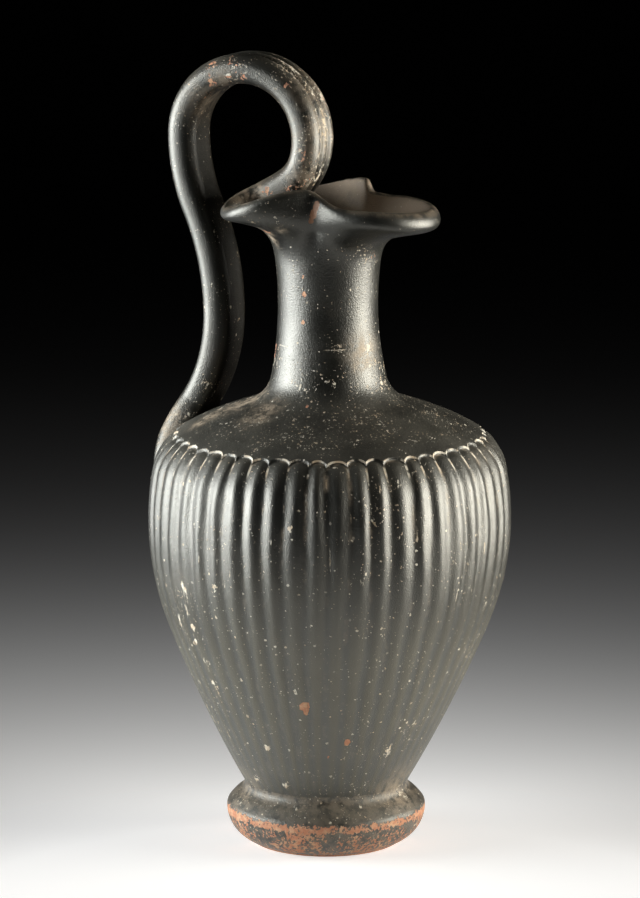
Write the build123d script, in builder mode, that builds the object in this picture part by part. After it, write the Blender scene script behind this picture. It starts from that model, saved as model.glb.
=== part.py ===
"""Trefoil wine jug of fired clay: ring foot, ribbed belly, shoulder, neck, pinched mouth and looped handle.

Millimetres. The origin is the centre of the foot's resting ring, +Z is up, the spout points along +X and the
handle stands on the -X side. The jug is the same on both sides of the XZ plane.
"""
import os
from math import cos, pi, radians, sin, sqrt

from build123d import *

# Slip that joins one clay section to the next
LUTING = 0.6
WALL = 4.2

# Foot
FOOT_HEIGHT = 20.0
FOOT_RADIUS = 35.3
FOOT_EDGE_HEIGHT = 12.5
FOOT_LEDGE = 1.6
REST_OUTER_RADIUS = 27.2
REST_WIDTH = 6.5
UNDERSIDE_RECESS = 11.0
UNDERSIDE_RADIUS = 17.0

# Belly profile: the top rises above the turn and the widest place, which rises above the flare
BELLY_HEIGHT = 126.0
BELLY_RADIUS = 64.0
BELLY_CURVE = 100.0
WIDEST_RISE = 29.6
FLARE_CURVE = 470.0
FLARE_RISE = 37.0
TURN_CURVE = 17.5
TURN_RISE = 11.6
FLOOR_THICKNESS = 6.0
FLOOR_CORNER = 10.0

# Ribs, with the count of their outlines along each arc of the belly
RIB_COUNT = 52
RIB_CURVE = 8.1
RIB_FADE = 14.0
FLARE_OUTLINES = 4
BELLY_OUTLINES = 4
TURN_OUTLINES = 3

# Shoulder and neck, heights above the shoulder's luting
SHOULDER_SLOPE = 24.0
ROOT_CURVE = 8.0
SHOULDER_HEIGHT = 28.5
NECK_RADIUS = 17.5
NECK_CURVE = 125.0
WAIST_RISE = 46.5
NECK_LENGTH = 31.7

# Mouth, reaches from the axis to the lip's edge and rises above the mouth's luting
LIP_THICKNESS = 3.6
SPOUT_REACH = 41.0
SPOUT_RISE = 17.0
SPOUT_TILT = 24.0
PINCH_ANGLE = 63.0
PINCH_REACH = 22.8
PINCH_RISE = 22.5
PINCH_TILT = 76.0
HUMP_ANGLE = 86.0
HUMP_RISE = 26.5
LOBE_ANGLE = 130.0
LOBE_REACH = 37.0
LOBE_RISE = 19.5
LOBE_TILT = 28.0
BACK_REACH = 36.0
BACK_RISE = 18.5
BACK_TILT = 30.0
LOBE_FULLNESS = 0.65
FLARE_EASE = 12.0
NECK_EASE = 7.0
MOUTH_SECTIONS = 12

# Handle
STRAP_WIDTH = 19.0
STRAP_THICKNESS = 10.5
STRAP_CORNER = 3.6
REED_GROOVE = 1.1
REED_SPACING = 5.6
LOOP_RADIUS = 24.0
LOOP_INSET = 6.0
LOOP_LIFT = 23.5
LOOP_START_ANGLE = -66.0
TOP_WAD_WIDTH = 40.0
TOP_WAD_THICKNESS = 6.5
TOP_WAD_TURN = 46.0
UPPER_BEND = 65.0
HANDLE_LEAN = 24.0
ROOT_SPLAY = 34.0
ROOT_CLEARANCE = 6.4
ROOT_WAD_WIDTH = 31.0
ROOT_WAD_COVER = 5.5
ROOT_WAD_SINK = 7.0
ROOT_WAD_HIGH = 48.0
ROOT_WAD_LOW = 6.0

# Heights of the seams between the sections
belly_base = FOOT_HEIGHT + LUTING
belly_top = belly_base + BELLY_HEIGHT
shoulder_base = belly_top + LUTING
shoulder_top = shoulder_base + SHOULDER_HEIGHT
neck_base = shoulder_top + LUTING
neck_top = neck_base + NECK_LENGTH
mouth_base = neck_top + LUTING


def level_on(centre, radius, height):
    """Point of a circle at one height, on its side away from the axis."""
    return Vector(centre.X + sqrt(radius**2 - (height - centre.Y) ** 2), height)


# The outer profile is a chain of tangent arcs, in radius and height, each with its centre
belly_centre = Vector(BELLY_RADIUS - BELLY_CURVE, belly_top - WIDEST_RISE)
flare_top = level_on(belly_centre, BELLY_CURVE, belly_centre.Y - FLARE_RISE)
flare_normal = (flare_top - belly_centre).normalized()
flare_centre = flare_top - flare_normal * FLARE_CURVE
turn_start = level_on(belly_centre, BELLY_CURVE, belly_top - TURN_RISE)
turn_normal = (turn_start - belly_centre).normalized()
turn_centre = turn_start - turn_normal * TURN_CURVE

slope = radians(SHOULDER_SLOPE)
slope_normal = Vector(sin(slope), cos(slope))
slope_along = Vector(-cos(slope), sin(slope))
turn_end = turn_centre + slope_normal * TURN_CURVE

# The neck's root arc touches the shoulder's slope and the neck's long arc
neck_centre = Vector(NECK_RADIUS + NECK_CURVE, shoulder_base + WAIST_RISE)
root_offset = turn_end + slope_normal * ROOT_CURVE - neck_centre
slope_part = root_offset.dot(slope_along)
centre_gap = NECK_CURVE - ROOT_CURVE
slope_run = sqrt(slope_part**2 - root_offset.dot(root_offset) + centre_gap**2) - slope_part
root_start = turn_end + slope_along * slope_run
root_centre = root_start + slope_normal * ROOT_CURVE
root_normal = (neck_centre - root_centre).normalized()
root_end = neck_centre - root_normal * NECK_CURVE


def arc_about(centre, start, end):
    """Arc from start to end about a centre."""
    spoke = start - centre
    heading = Vector(-spoke.Y, spoke.X)
    if heading.dot(end - start) < 0:
        heading = heading * -1
    return TangentArc(start, end, tangent=heading)


def vessel_region(inset):
    """Half section of the jug from the belly's base to the neck's top, set in from the outer surface."""
    base = level_on(flare_centre, FLARE_CURVE - inset, belly_base)
    flare_end = flare_top - flare_normal * inset
    belly_end = turn_start - turn_normal * inset
    slope_start = turn_end - slope_normal * inset
    slope_end = root_start - slope_normal * inset
    neck_start = root_end - root_normal * inset
    neck_reach = sqrt((NECK_CURVE + inset) ** 2 - (neck_top - neck_centre.Y) ** 2)
    top = Vector(neck_centre.X - neck_reach, neck_top)
    with BuildSketch(Plane.XZ) as region:
        with BuildLine():
            Line((0, belly_base), base)
            arc_about(flare_centre, base, flare_end)
            arc_about(belly_centre, flare_end, belly_end)
            arc_about(turn_centre, belly_end, slope_start)
            Line(slope_start, slope_end)
            arc_about(root_centre, slope_end, neck_start)
            arc_about(neck_centre, neck_start, top)
            Line(top, (0, neck_top))
            Line((0, neck_top), (0, belly_base))
        make_face()
    return region.sketch_local


outer_region = vessel_region(0)
inner_region = vessel_region(WALL)
slice_width = 4 * BELLY_RADIUS  # past both sides of the jug


def keep_between(low, high):
    """Cut the sketch in hand down to what lies between two heights."""
    with Locations((0, (low + high) / 2)):
        Rectangle(slice_width, high - low, mode=Mode.INTERSECT)


def wall_slice(low, high):
    """Half section of the jug's wall between two heights."""
    with BuildSketch(Plane.XZ) as section:
        add(outer_region)
        add(inner_region, mode=Mode.SUBTRACT)
        keep_between(low, high)
    return section.sketch


def solid_slice(region, low, high):
    """Half section of the jug's outside or of its hollow, without a wall, between two heights."""
    with BuildSketch(Plane.XZ) as section:
        add(region)
        keep_between(low, high)
    return section.sketch


# Foot: a turned ring with a worn upper edge, a flat resting ring and a hollow underside
base_radius = level_on(flare_centre, FLARE_CURVE, belly_base).X
foot_top_radius = base_radius + FOOT_LEDGE
rest_inner_radius = REST_OUTER_RADIUS - REST_WIDTH
with BuildPart() as foot:
    with BuildSketch(Plane.XZ):
        with BuildLine():
            Line((0, FOOT_HEIGHT), (foot_top_radius, FOOT_HEIGHT))
            TangentArc(
                (foot_top_radius, FOOT_HEIGHT),
                (FOOT_RADIUS, FOOT_EDGE_HEIGHT),
                tangent=(FOOT_RADIUS - foot_top_radius, -FOOT_LEDGE),
            )
            TangentArc(
                (FOOT_RADIUS, FOOT_EDGE_HEIGHT),
                (REST_OUTER_RADIUS, 0),
                tangent=(0, -1),
            )
            Line((REST_OUTER_RADIUS, 0), (rest_inner_radius, 0))
            Line((rest_inner_radius, 0), (UNDERSIDE_RADIUS, UNDERSIDE_RECESS))
            Line((UNDERSIDE_RADIUS, UNDERSIDE_RECESS), (0, UNDERSIDE_RECESS))
            Line((0, UNDERSIDE_RECESS), (0, FOOT_HEIGHT))
        make_face()
    revolve(axis=Axis.Z)
foot.part.label = "foot"

with BuildPart() as foot_luting:
    with BuildSketch(Plane.XY.offset(FOOT_HEIGHT)):
        Circle(base_radius)
    extrude(amount=LUTING)
foot_luting.part.label = "foot_luting"


def rib_ring(height, crown_radius):
    """Outline of the ribs at one height: an arc for each rib, as deep as its width and curve make it."""
    half_width = crown_radius * sin(pi / RIB_COUNT)
    fade = min(1.0, (belly_top - height) / RIB_FADE)
    groove_radius = crown_radius - fade * (RIB_CURVE - sqrt(RIB_CURVE**2 - half_width**2))
    step = 360 / RIB_COUNT
    crown = [Vector(crown_radius, 0).rotate(Axis.Z, k * step) for k in range(RIB_COUNT)]
    groove = [Vector(groove_radius, 0).rotate(Axis.Z, (k - 0.5) * step) for k in range(RIB_COUNT)]
    with BuildSketch(Plane.XY.offset(height)) as ring:
        make_face(
            [
                ThreePointArc(groove[k - 1], crown[k - 1], groove[k], mode=Mode.PRIVATE)
                for k in range(RIB_COUNT)
            ]
        )
    return ring.sketch


# Belly: rib outlines lofted up the flare, round the widest part and over the shoulder edge
def spread(low, high, steps):
    """Evenly spaced heights from low up to, and without, high."""
    return [low + (high - low) * k / steps for k in range(steps)]


rib_rings = []
for height in spread(belly_base, flare_top.Y, FLARE_OUTLINES):
    rib_rings.append(rib_ring(height, level_on(flare_centre, FLARE_CURVE, height).X))
for height in spread(flare_top.Y, turn_start.Y, BELLY_OUTLINES):
    rib_rings.append(rib_ring(height, level_on(belly_centre, BELLY_CURVE, height).X))
for height in spread(turn_start.Y, belly_top, TURN_OUTLINES) + [belly_top]:
    rib_rings.append(rib_ring(height, level_on(turn_centre, TURN_CURVE, height).X))

with BuildPart() as belly_blank:
    loft(rib_rings)

floor_height = belly_base + FLOOR_THICKNESS
with BuildPart() as hollow:
    revolve(solid_slice(inner_region, floor_height, belly_top), axis=Axis.Z)
    fillet(hollow.edges().filter_by(GeomType.CIRCLE).group_by(Axis.Z)[0], FLOOR_CORNER)

with BuildPart() as belly:
    add(belly_blank.part)
    add(hollow.part, mode=Mode.SUBTRACT)
belly.part.label = "belly"

with BuildPart() as shoulder_luting:
    revolve(wall_slice(belly_top, shoulder_base), axis=Axis.Z)
shoulder_luting.part.label = "shoulder_luting"

with BuildPart() as shoulder:
    revolve(wall_slice(shoulder_base, shoulder_top), axis=Axis.Z)
shoulder.part.label = "shoulder"

with BuildPart() as neck_luting:
    revolve(wall_slice(shoulder_top, neck_base), axis=Axis.Z)
neck_luting.part.label = "neck_luting"

with BuildPart() as neck:
    revolve(wall_slice(neck_base, neck_top), axis=Axis.Z)
neck.part.label = "neck"

# The mouth starts from the neck's top edge
neck_edge = neck_centre.X - sqrt(NECK_CURVE**2 - (neck_top - neck_centre.Y) ** 2)
with BuildPart() as mouth_luting:
    with BuildSketch(Plane.XY.offset(neck_top)):
        Circle(neck_edge)
        Circle(neck_edge - WALL, mode=Mode.SUBTRACT)
    extrude(amount=LUTING)
mouth_luting.part.label = "mouth_luting"


def ease(share):
    """Smooth step from 0 to 1."""
    return (1 - cos(pi * share)) / 2


def lip_value(angle, stops, fullness=1.0):
    """A lip measure at an angle from the spout, eased between its stops, fuller towards the larger."""
    for (low_angle, low), (high_angle, high) in zip(stops, stops[1:]):
        if angle <= high_angle:
            share = ease((angle - low_angle) / (high_angle - low_angle))
            if low > high:
                return high + (low - high) * (1 - share) ** fullness
            return low + (high - low) * share**fullness
    return stops[-1][1]


reach_stops = [(0, SPOUT_REACH), (PINCH_ANGLE, PINCH_REACH), (LOBE_ANGLE, LOBE_REACH), (180, BACK_REACH)]
rise_stops = [
    (0, SPOUT_RISE),
    (PINCH_ANGLE, PINCH_RISE),
    (HUMP_ANGLE, HUMP_RISE),
    (LOBE_ANGLE, LOBE_RISE),
    (180, BACK_RISE),
]
tilt_stops = [(0, SPOUT_TILT), (PINCH_ANGLE, PINCH_TILT), (LOBE_ANGLE, LOBE_TILT), (180, BACK_TILT)]


def lip_section(angle):
    """Section of the mouth's wall in the half plane at an angle from the spout, with a rounded lip."""
    turn = min(abs(angle), 360 - abs(angle))
    tilt = radians(lip_value(turn, tilt_stops))
    along = Vector(cos(tilt), sin(tilt))
    across = Vector(sin(tilt), -cos(tilt))
    half = LIP_THICKNESS / 2
    tip = Vector(lip_value(turn, reach_stops, LOBE_FULLNESS), mouth_base + lip_value(turn, rise_stops))
    middle = tip - Vector(half, half)
    under = middle + across * half
    upper = middle - across * half
    outer_base = Vector(neck_edge, mouth_base)
    inner_base = Vector(neck_edge - WALL, mouth_base)
    lift = Vector(0, NECK_EASE)
    facing = radians(angle)
    plane = Plane(
        origin=(0, 0, 0),
        x_dir=(cos(facing), sin(facing), 0),
        z_dir=(sin(facing), -cos(facing), 0),
    )
    with BuildSketch(plane) as section:
        with BuildLine():
            Bezier(outer_base, outer_base + lift, under - along * FLARE_EASE, under)
            ThreePointArc(under, middle + along * half, upper)
            Bezier(upper, upper - along * FLARE_EASE, inner_base + lift, inner_base)
            Line(inner_base, outer_base)
        make_face()
    return section.sketch


# Mouth: wall sections lofted round one side, past the middle plane at both ends, then mirrored
mouth_step = 180 / MOUTH_SECTIONS
with BuildPart() as mouth:
    loft([lip_section(k * mouth_step) for k in range(-1, MOUTH_SECTIONS + 2)])
    split(bisect_by=Plane.XZ, keep=Keep.BOTTOM)
    mirror(about=Plane.XZ)
mouth.part.label = "mouth"

# Handle: the centre line is a loop over the back of the mouth, then an S down to the shoulder
loop_centre = Vector(-(BACK_REACH - LOOP_INSET), mouth_base + BACK_RISE + LOOP_LIFT)
lean = radians(HANDLE_LEAN)
splay = radians(ROOT_SPLAY)
loop_start_turn = radians(LOOP_START_ANGLE)
loop_start = loop_centre + Vector(cos(loop_start_turn), sin(loop_start_turn)) * LOOP_RADIUS
loop_end = loop_centre - Vector(LOOP_RADIUS, 0)

# The strap's foot stands off the end of the shoulder's slope
root_point = Vector(-turn_end.X, turn_end.Y) + Vector(-slope_normal.X, slope_normal.Y) * ROOT_CLEARANCE
root_point = root_point + Vector(cos(slope), sin(slope)) * (STRAP_THICKNESS / 2)
drop = loop_end.Y - root_point.Y
drift = root_point.X - loop_end.X
lean_in = 1 - cos(lean)
splay_out = 1 - cos(splay)
lower_bend = (drop * lean_in - drift * sin(lean)) / (splay_out * sin(lean) + lean_in * sin(splay))
middle_bend = (drop - lower_bend * sin(splay)) / sin(lean) - UPPER_BEND
lean_point = loop_end + Vector(lean_in, -sin(lean)) * UPPER_BEND
waist_point = lean_point + Vector(lean_in, -sin(lean)) * middle_bend


def strap_section(plane):
    """Rounded strap outline, with two grooves between three reeds on its outer face."""
    with BuildSketch(plane) as section:
        RectangleRounded(STRAP_WIDTH, STRAP_THICKNESS, STRAP_CORNER)
        with Locations((-REED_SPACING / 2, STRAP_THICKNESS / 2), (REED_SPACING / 2, STRAP_THICKNESS / 2)):
            Circle(REED_GROOVE, mode=Mode.SUBTRACT)
    return section.sketch


def wad_section(plane, width, thickness):
    """Outline of a wad of clay with full round edges."""
    with BuildSketch(plane) as section:
        SlotOverall(width, thickness)
    return section.sketch


def strap_plane(point, heading, outward):
    """Plane across the strap, with its width along Y and its second axis out of the loop."""
    return Plane(
        origin=(point.X, 0, point.Y),
        x_dir=Vector(outward.X, 0, outward.Y).cross(Vector(heading.X, 0, heading.Y)),
        z_dir=(heading.X, 0, heading.Y),
    )


def bend(start, heading, radius, turn):
    """Stretch of strap from a point, turned about its bend's centre: to the left where turn is positive."""
    left = Vector(-heading.Y, heading.X)
    centre = start + left * (radius if turn > 0 else -radius)
    plane = strap_plane(start, heading, left * -1)
    axis = Axis((centre.X, 0, centre.Y), (0, -1 if turn > 0 else 1, 0))
    revolve(strap_section(plane), axis=axis, revolution_arc=abs(turn))


start_heading = Vector(-sin(loop_start_turn), cos(loop_start_turn))
downward = Vector(0, -1)
with BuildPart() as handle:
    bend(loop_start, start_heading, LOOP_RADIUS, 180 - LOOP_START_ANGLE)
    bend(loop_end, downward, UPPER_BEND, HANDLE_LEAN)
    bend(lean_point, Vector(sin(lean), -cos(lean)), middle_bend, -HANDLE_LEAN)
    bend(waist_point, downward, lower_bend, -ROOT_SPLAY)
handle.part.label = "handle"

# Wad at the strap's upper end, spread along the back of the rim and no further out than the lip
wad_shares = (0, 0.5, 1)  # both ends of a wad and its middle


def top_wad_section(share):
    """Section of the upper wad, from the strap at share 0 to its wide end at share 1."""
    turn = loop_start_turn - radians(TOP_WAD_TURN) * share
    outward = Vector(cos(turn), sin(turn))
    plane = strap_plane(loop_centre + outward * LOOP_RADIUS, Vector(-outward.Y, outward.X), outward)
    width = STRAP_WIDTH + (TOP_WAD_WIDTH - STRAP_WIDTH) * share
    thickness = STRAP_THICKNESS + (TOP_WAD_THICKNESS - STRAP_THICKNESS) * share
    return wad_section(plane, width, thickness)


with BuildPart() as handle_top_luting:
    loft([top_wad_section(share) for share in wad_shares])
    with BuildSketch(Plane.XY.offset(mouth_base)):
        Circle(BACK_REACH - LIP_THICKNESS / 2)
    extrude(amount=LOOP_LIFT + BACK_RISE, mode=Mode.INTERSECT)
    add(mouth.part, mode=Mode.SUBTRACT)
    add(handle_top_luting.solids().sort_by(SortBy.VOLUME)[-1], mode=Mode.REPLACE)
handle_top_luting.part.label = "handle_top_luting"

# Wad at the strap's foot, spread over the shoulder edge and thinned out on the belly
root_heading = Vector(-sin(splay), -cos(splay))
root_outward = Vector(-cos(splay), sin(splay))
edge_centre = Vector(-turn_centre.X, turn_centre.Y)


def root_wad_section(share):
    """Section of the lower wad over the shoulder edge, from its high end at share 0 to its low end."""
    turn = radians(ROOT_WAD_HIGH + (ROOT_WAD_LOW - ROOT_WAD_HIGH) * share)
    outward = Vector(-cos(turn), sin(turn))
    cover = ROOT_WAD_COVER * (1 - share) + LUTING * share
    middle = edge_centre + outward * (TURN_CURVE + (cover - ROOT_WAD_SINK) / 2)
    width = STRAP_WIDTH + (ROOT_WAD_WIDTH - STRAP_WIDTH) * (1 + share) / 2
    plane = strap_plane(middle, Vector(-sin(turn), -cos(turn)), outward)
    return wad_section(plane, width, cover + ROOT_WAD_SINK)


with BuildPart() as handle_root_luting:
    strap_end = strap_plane(root_point, root_heading, root_outward)
    strap_foot = wad_section(strap_end, STRAP_WIDTH, STRAP_THICKNESS)
    loft([strap_foot] + [root_wad_section(share) for share in wad_shares])
    add(belly_blank.part, mode=Mode.SUBTRACT)
    revolve(solid_slice(outer_region, belly_top, shoulder_top), axis=Axis.Z, mode=Mode.SUBTRACT)
    add(handle_root_luting.solids().sort_by(SortBy.VOLUME)[-1], mode=Mode.REPLACE)
handle_root_luting.part.label = "handle_root_luting"

os.makedirs("parts", exist_ok=True)
for piece in (
    foot,
    foot_luting,
    belly,
    shoulder_luting,
    shoulder,
    neck_luting,
    neck,
    mouth_luting,
    mouth,
    handle,
    handle_top_luting,
    handle_root_luting,
):
    export_step(piece.part, f"parts/{piece.part.label}.step")
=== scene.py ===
"""Black-gloss trefoil wine jug: its dressed pieces and finishes, with the light, the floor and the camera.

Shapes are worked out in millimetres and become meshes in metres, in the solids' own frame: the origin is the
centre of the foot's resting ring, +Z is up, the spout points along +X and the handle stands on the -X side.
"""
from math import asin, atan, atan2, cos, exp, log, pi, radians, sin, sqrt, tan

import bmesh
import bpy
import numpy as np
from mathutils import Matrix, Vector
from mathutils.bvhtree import BVHTree


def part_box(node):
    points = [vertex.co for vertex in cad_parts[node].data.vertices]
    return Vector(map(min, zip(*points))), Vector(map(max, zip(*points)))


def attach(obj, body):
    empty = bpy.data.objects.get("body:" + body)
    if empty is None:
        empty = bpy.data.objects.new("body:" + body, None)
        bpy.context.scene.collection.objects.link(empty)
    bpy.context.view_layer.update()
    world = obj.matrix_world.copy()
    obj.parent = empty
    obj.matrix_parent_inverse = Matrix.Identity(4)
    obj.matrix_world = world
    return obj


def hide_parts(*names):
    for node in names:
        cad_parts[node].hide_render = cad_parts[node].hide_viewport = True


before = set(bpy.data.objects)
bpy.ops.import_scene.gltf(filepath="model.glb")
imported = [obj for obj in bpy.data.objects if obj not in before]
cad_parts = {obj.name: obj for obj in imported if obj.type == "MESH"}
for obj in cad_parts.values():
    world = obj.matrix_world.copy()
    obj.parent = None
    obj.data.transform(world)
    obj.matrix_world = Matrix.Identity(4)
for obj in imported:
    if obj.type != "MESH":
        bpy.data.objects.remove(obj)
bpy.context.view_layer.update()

MM = 0.001
SEED = 7


def level(node, end):
    """Height of a solid's underside, end 0, or of its top, end 1."""
    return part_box(node)[end].z / MM


# Body profile, in radius and height: a chain of arcs that touch one another
WALL = 4.2
BELLY_RADIUS = 64.0
BELLY_CURVE = 100.0
WIDEST_RISE = 29.6
FLARE_RISE = 37.0
FLARE_CURVE = 470.0
TURN_RISE = 11.6
TURN_CURVE = 17.5
SHOULDER_SLOPE = 24.0
ROOT_CURVE = 12.0
NECK_RADIUS = 17.5
NECK_CURVE = 125.0
WAIST_RISE = 46.5
FLOOR_THICKNESS = 6.0
DOME_RISE = 1.3
DOME_START_RADIUS = 27.5
DOME_END_RADIUS = 62.0
PROFILE_STEP = 0.1

belly_base = level("belly", 0)
belly_top = level("belly", 1)
shoulder_base = level("shoulder", 0)
shoulder_top = level("shoulder", 1)
neck_top = level("neck", 1)
mouth_base = level("mouth", 0)


def spoke(turn):
    """Unit vector at an angle above the level, in radius and height."""
    return np.array([cos(turn), sin(turn)])


slope_turn = radians(90 - SHOULDER_SLOPE)
widest = belly_top - WIDEST_RISE
flare_turn = asin(-FLARE_RISE / BELLY_CURVE)
edge_turn = asin((belly_top - TURN_RISE - widest) / BELLY_CURVE)
belly_centre = np.array([BELLY_RADIUS - BELLY_CURVE, widest])
flare_centre = belly_centre + spoke(flare_turn) * (BELLY_CURVE - FLARE_CURVE)
turn_centre = belly_centre + spoke(edge_turn) * (BELLY_CURVE - TURN_CURVE)
turn_end = turn_centre + spoke(slope_turn) * TURN_CURVE
neck_centre = np.array([NECK_RADIUS + NECK_CURVE, shoulder_base + WAIST_RISE])

# The neck's root arc touches the shoulder's slope and the neck's long arc
slope_along = np.array([-sin(slope_turn), cos(slope_turn)])
root_offset = turn_end + spoke(slope_turn) * ROOT_CURVE - neck_centre
slope_part = root_offset @ slope_along
centre_gap = NECK_CURVE - ROOT_CURVE
slope_run = sqrt(slope_part**2 - root_offset @ root_offset + centre_gap**2) - slope_part
root_start = turn_end + slope_along * slope_run
root_centre = root_start + spoke(slope_turn) * ROOT_CURVE
root_turn = atan2(*(neck_centre - root_centre)[::-1])


def lengths_along(points):
    """Length of a chain of points up to each of them."""
    return np.concatenate([[0], np.cumsum(np.linalg.norm(np.diff(points, axis=0), axis=1))])


def body_profile():
    """Points of the outer profile from the belly's base to the neck's top, and the surface's tilt at each."""
    base_turn = asin((belly_base - flare_centre[1]) / FLARE_CURVE)
    top_turn = asin((neck_centre[1] - neck_top) / NECK_CURVE)
    arcs = [
        (flare_centre, FLARE_CURVE, base_turn, flare_turn),
        (belly_centre, BELLY_CURVE, flare_turn, edge_turn),
        (turn_centre, TURN_CURVE, edge_turn, slope_turn),
        (root_centre, -ROOT_CURVE, slope_turn, root_turn),
        (neck_centre, -NECK_CURVE, root_turn, top_turn),
    ]
    points = []
    for centre, radius, start, end in arcs:
        count = 2 + int(abs(radius * (end - start)) / PROFILE_STEP)
        points += [centre + spoke(turn) * radius for turn in np.linspace(start, end, count)]
    points = np.array(points)
    run = lengths_along(points)
    even = np.linspace(0, run[-1], int(run[-1] / PROFILE_STEP))
    points = np.stack([np.interp(even, run, points[:, a]) for a in (0, 1)], -1)

    # The shoulder swells in a low dome, which meets the neck at a slight corner
    share = np.clip((points[:, 0] - DOME_START_RADIUS) / (DOME_END_RADIUS - DOME_START_RADIUS), 0, 1)
    swell = np.where(share < 0.5, np.sin(pi * share), np.sin(pi * share) ** 2)
    points[:, 1] += DOME_RISE * swell * (points[:, 1] > widest)
    along = np.gradient(points, axis=0)
    return points, np.arctan2(-along[:, 0], along[:, 1])


profile_points, profile_turns = body_profile()
profile_run = lengths_along(profile_points)


def run_at(height):
    """Length of the profile from the belly's base up to a height."""
    return float(np.interp(height, profile_points[:, 1], profile_run))


def on_profile(run, inset=0.0):
    """Points of the profile at given lengths along it, set in from the surface."""
    turn = np.interp(run, profile_run, profile_turns)
    radius = np.interp(run, profile_run, profile_points[:, 0])
    height = np.interp(run, profile_run, profile_points[:, 1])
    return np.stack([radius - inset * np.cos(turn), height - inset * np.sin(turn)], -1)


def bezier(start, start_pull, end_pull, end, count):
    """Points of a cubic curve, its end left out."""
    t = np.linspace(0, 1, count, endpoint=False)[:, None]
    start, start_pull, end_pull, end = (np.array(p, float) for p in (start, start_pull, end_pull, end))
    left = 1 - t
    return left**3 * start + 3 * left**2 * t * start_pull + 3 * left * t**2 * end_pull + t**3 * end


def ease(share):
    """Smooth step from 0 to 1."""
    share = np.clip(share, 0, 1)
    return share * share * (3 - 2 * share)


# Meshes

MERGE_GAP = 1e-7

pieces = {}

# The jug doesn't stand quite true: each height and its shift, in the direction of one bearing
LEAN_BEARING = 25.0
LEAN = [(0, -0.65), (25, -0.6), (75, 0.2), (115, 0.65), (150, 0.6), (185, 0.0), (300, 0.0)]


def add_object(name, data):
    """Object in the scene that shows a mesh, a light or a camera."""
    item = bpy.data.objects.new(name, data)
    bpy.context.scene.collection.objects.link(item)
    return item


def write_field(mesh, field, values):
    """Keep a value at each point of a mesh."""
    layer = mesh.attributes.new(field, "FLOAT", "POINT")
    layer.data.foreach_set("value", np.ascontiguousarray(values, np.float32).ravel())


def add_piece(name, grid, ends_closed, fields=None):
    """Closed mesh from a grid of points, rows by columns. Each row is a ring, and the last row joins the
    first, or else both end rings are filled."""
    rows, columns = grid.shape[:2]
    shift = np.interp(grid[..., 2], *zip(*LEAN))
    grid = grid + shift[..., None] * (cos(radians(LEAN_BEARING)), sin(radians(LEAN_BEARING)), 0)
    index = np.arange(rows * columns).reshape(rows, columns)
    across = np.roll(index, -1, axis=1)
    faces = np.stack([index[:-1], across[:-1], across[1:], index[1:]], -1).reshape(-1, 4).tolist()
    if ends_closed:
        faces += np.stack([index[-1], across[-1], across[0], index[0]], -1).tolist()
    else:
        faces += [index[0, ::-1].tolist(), index[-1].tolist()]
    mesh = bpy.data.meshes.new(name)
    mesh.from_pydata((grid.reshape(-1, 3) * MM).tolist(), [], faces)
    for field, values in (fields or {}).items():
        write_field(mesh, field, values)
    shape = bmesh.new()
    shape.from_mesh(mesh)
    bmesh.ops.remove_doubles(shape, verts=shape.verts, dist=MERGE_GAP)
    bmesh.ops.recalc_face_normals(shape, faces=shape.faces)
    for face in shape.faces:
        face.smooth = True
    shape.to_mesh(mesh)
    shape.free()
    pieces[name] = add_object(name, mesh)


def turned(profile, bearings):
    """Grid of points of a profile, radius and height, turned about the axis."""
    radius, height = np.array(profile, float).T
    x = radius[:, None] * np.cos(bearings)
    y = radius[:, None] * np.sin(bearings)
    return np.stack([x, y, np.broadcast_to(height[:, None], x.shape)], -1)


def round_bearings(count):
    """Bearings evenly spaced all round."""
    return np.linspace(0, 2 * pi, count, endpoint=False)


# Ring foot: a hollow moulding under the belly, a rounded upper edge and a side drawn in to the resting ring

FOOT_RADIUS = 35.3
FOOT_EDGE_HEIGHT = 12.5
FOOT_TOP_INSET = 3.0
REST_OUTER_RADIUS = 27.2
REST_INNER_RADIUS = 20.7
REST_ROUNDING = 0.8
REST_OUTER_FLAT = 1.4
REST_INNER_FLAT = 1.2
UNDERSIDE_RADIUS = 17.0
UNDERSIDE_RECESS = 11.0
CEILING_EDGE_INSET = 5.0
CEILING_SAGS = [(5.0, 0.6), (0.0, 0.7)]
FOOT_COVE_TOP = 24.6
FOOT_COVE_INSET = 0.3
FOOT_COVE_EASE = 3.6
FOOT_COVE_END = (31.3, 18.0)
FOOT_SLOPE_END = (34.4, 15.0)
UNDER_SLOPE_START = (REST_INNER_RADIUS - 0.5, 1.6)
FOOT_COLUMNS = 240

# Pulls of the foot's curves, in radius and height: the cove's from its end, the rest's from the resting
# ring's outer edge, and the ceiling's from the underside's radius
COVE_PULL = (-2.6, 1.7)
SLOPE_PULLS = [(32.4, 17.3), (33.4, 16.2)]
EDGE_PULLS = [(35.0, 14.3), (FOOT_RADIUS, 13.6)]
REST_PULLS = [(-0.5, 0.1), (-0.8, 0.0)]
UNDER_PULLS = [(REST_INNER_RADIUS, 0.0), (REST_INNER_RADIUS, 0.4)]
CEILING_PULLS = [(0.5, 9.6), (-1.0, UNDERSIDE_RECESS)]
FOOT_ROWS = {"cove": 20, "slope": 8, "edge": 10, "side": 20, "rest": 5, "under": 6, "ceiling": 12}


def foot_side():
    """Arc of the foot's side, from its widest edge down to the resting ring's rounding."""
    drop = FOOT_EDGE_HEIGHT - REST_ROUNDING
    inset = FOOT_RADIUS - REST_OUTER_RADIUS
    curve = (inset**2 + drop**2) / (2 * inset)
    turns = -np.linspace(0, asin(drop / curve), FOOT_ROWS["side"])
    return [(FOOT_RADIUS + curve * (cos(t) - 1), FOOT_EDGE_HEIGHT + curve * sin(t)) for t in turns]


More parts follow.
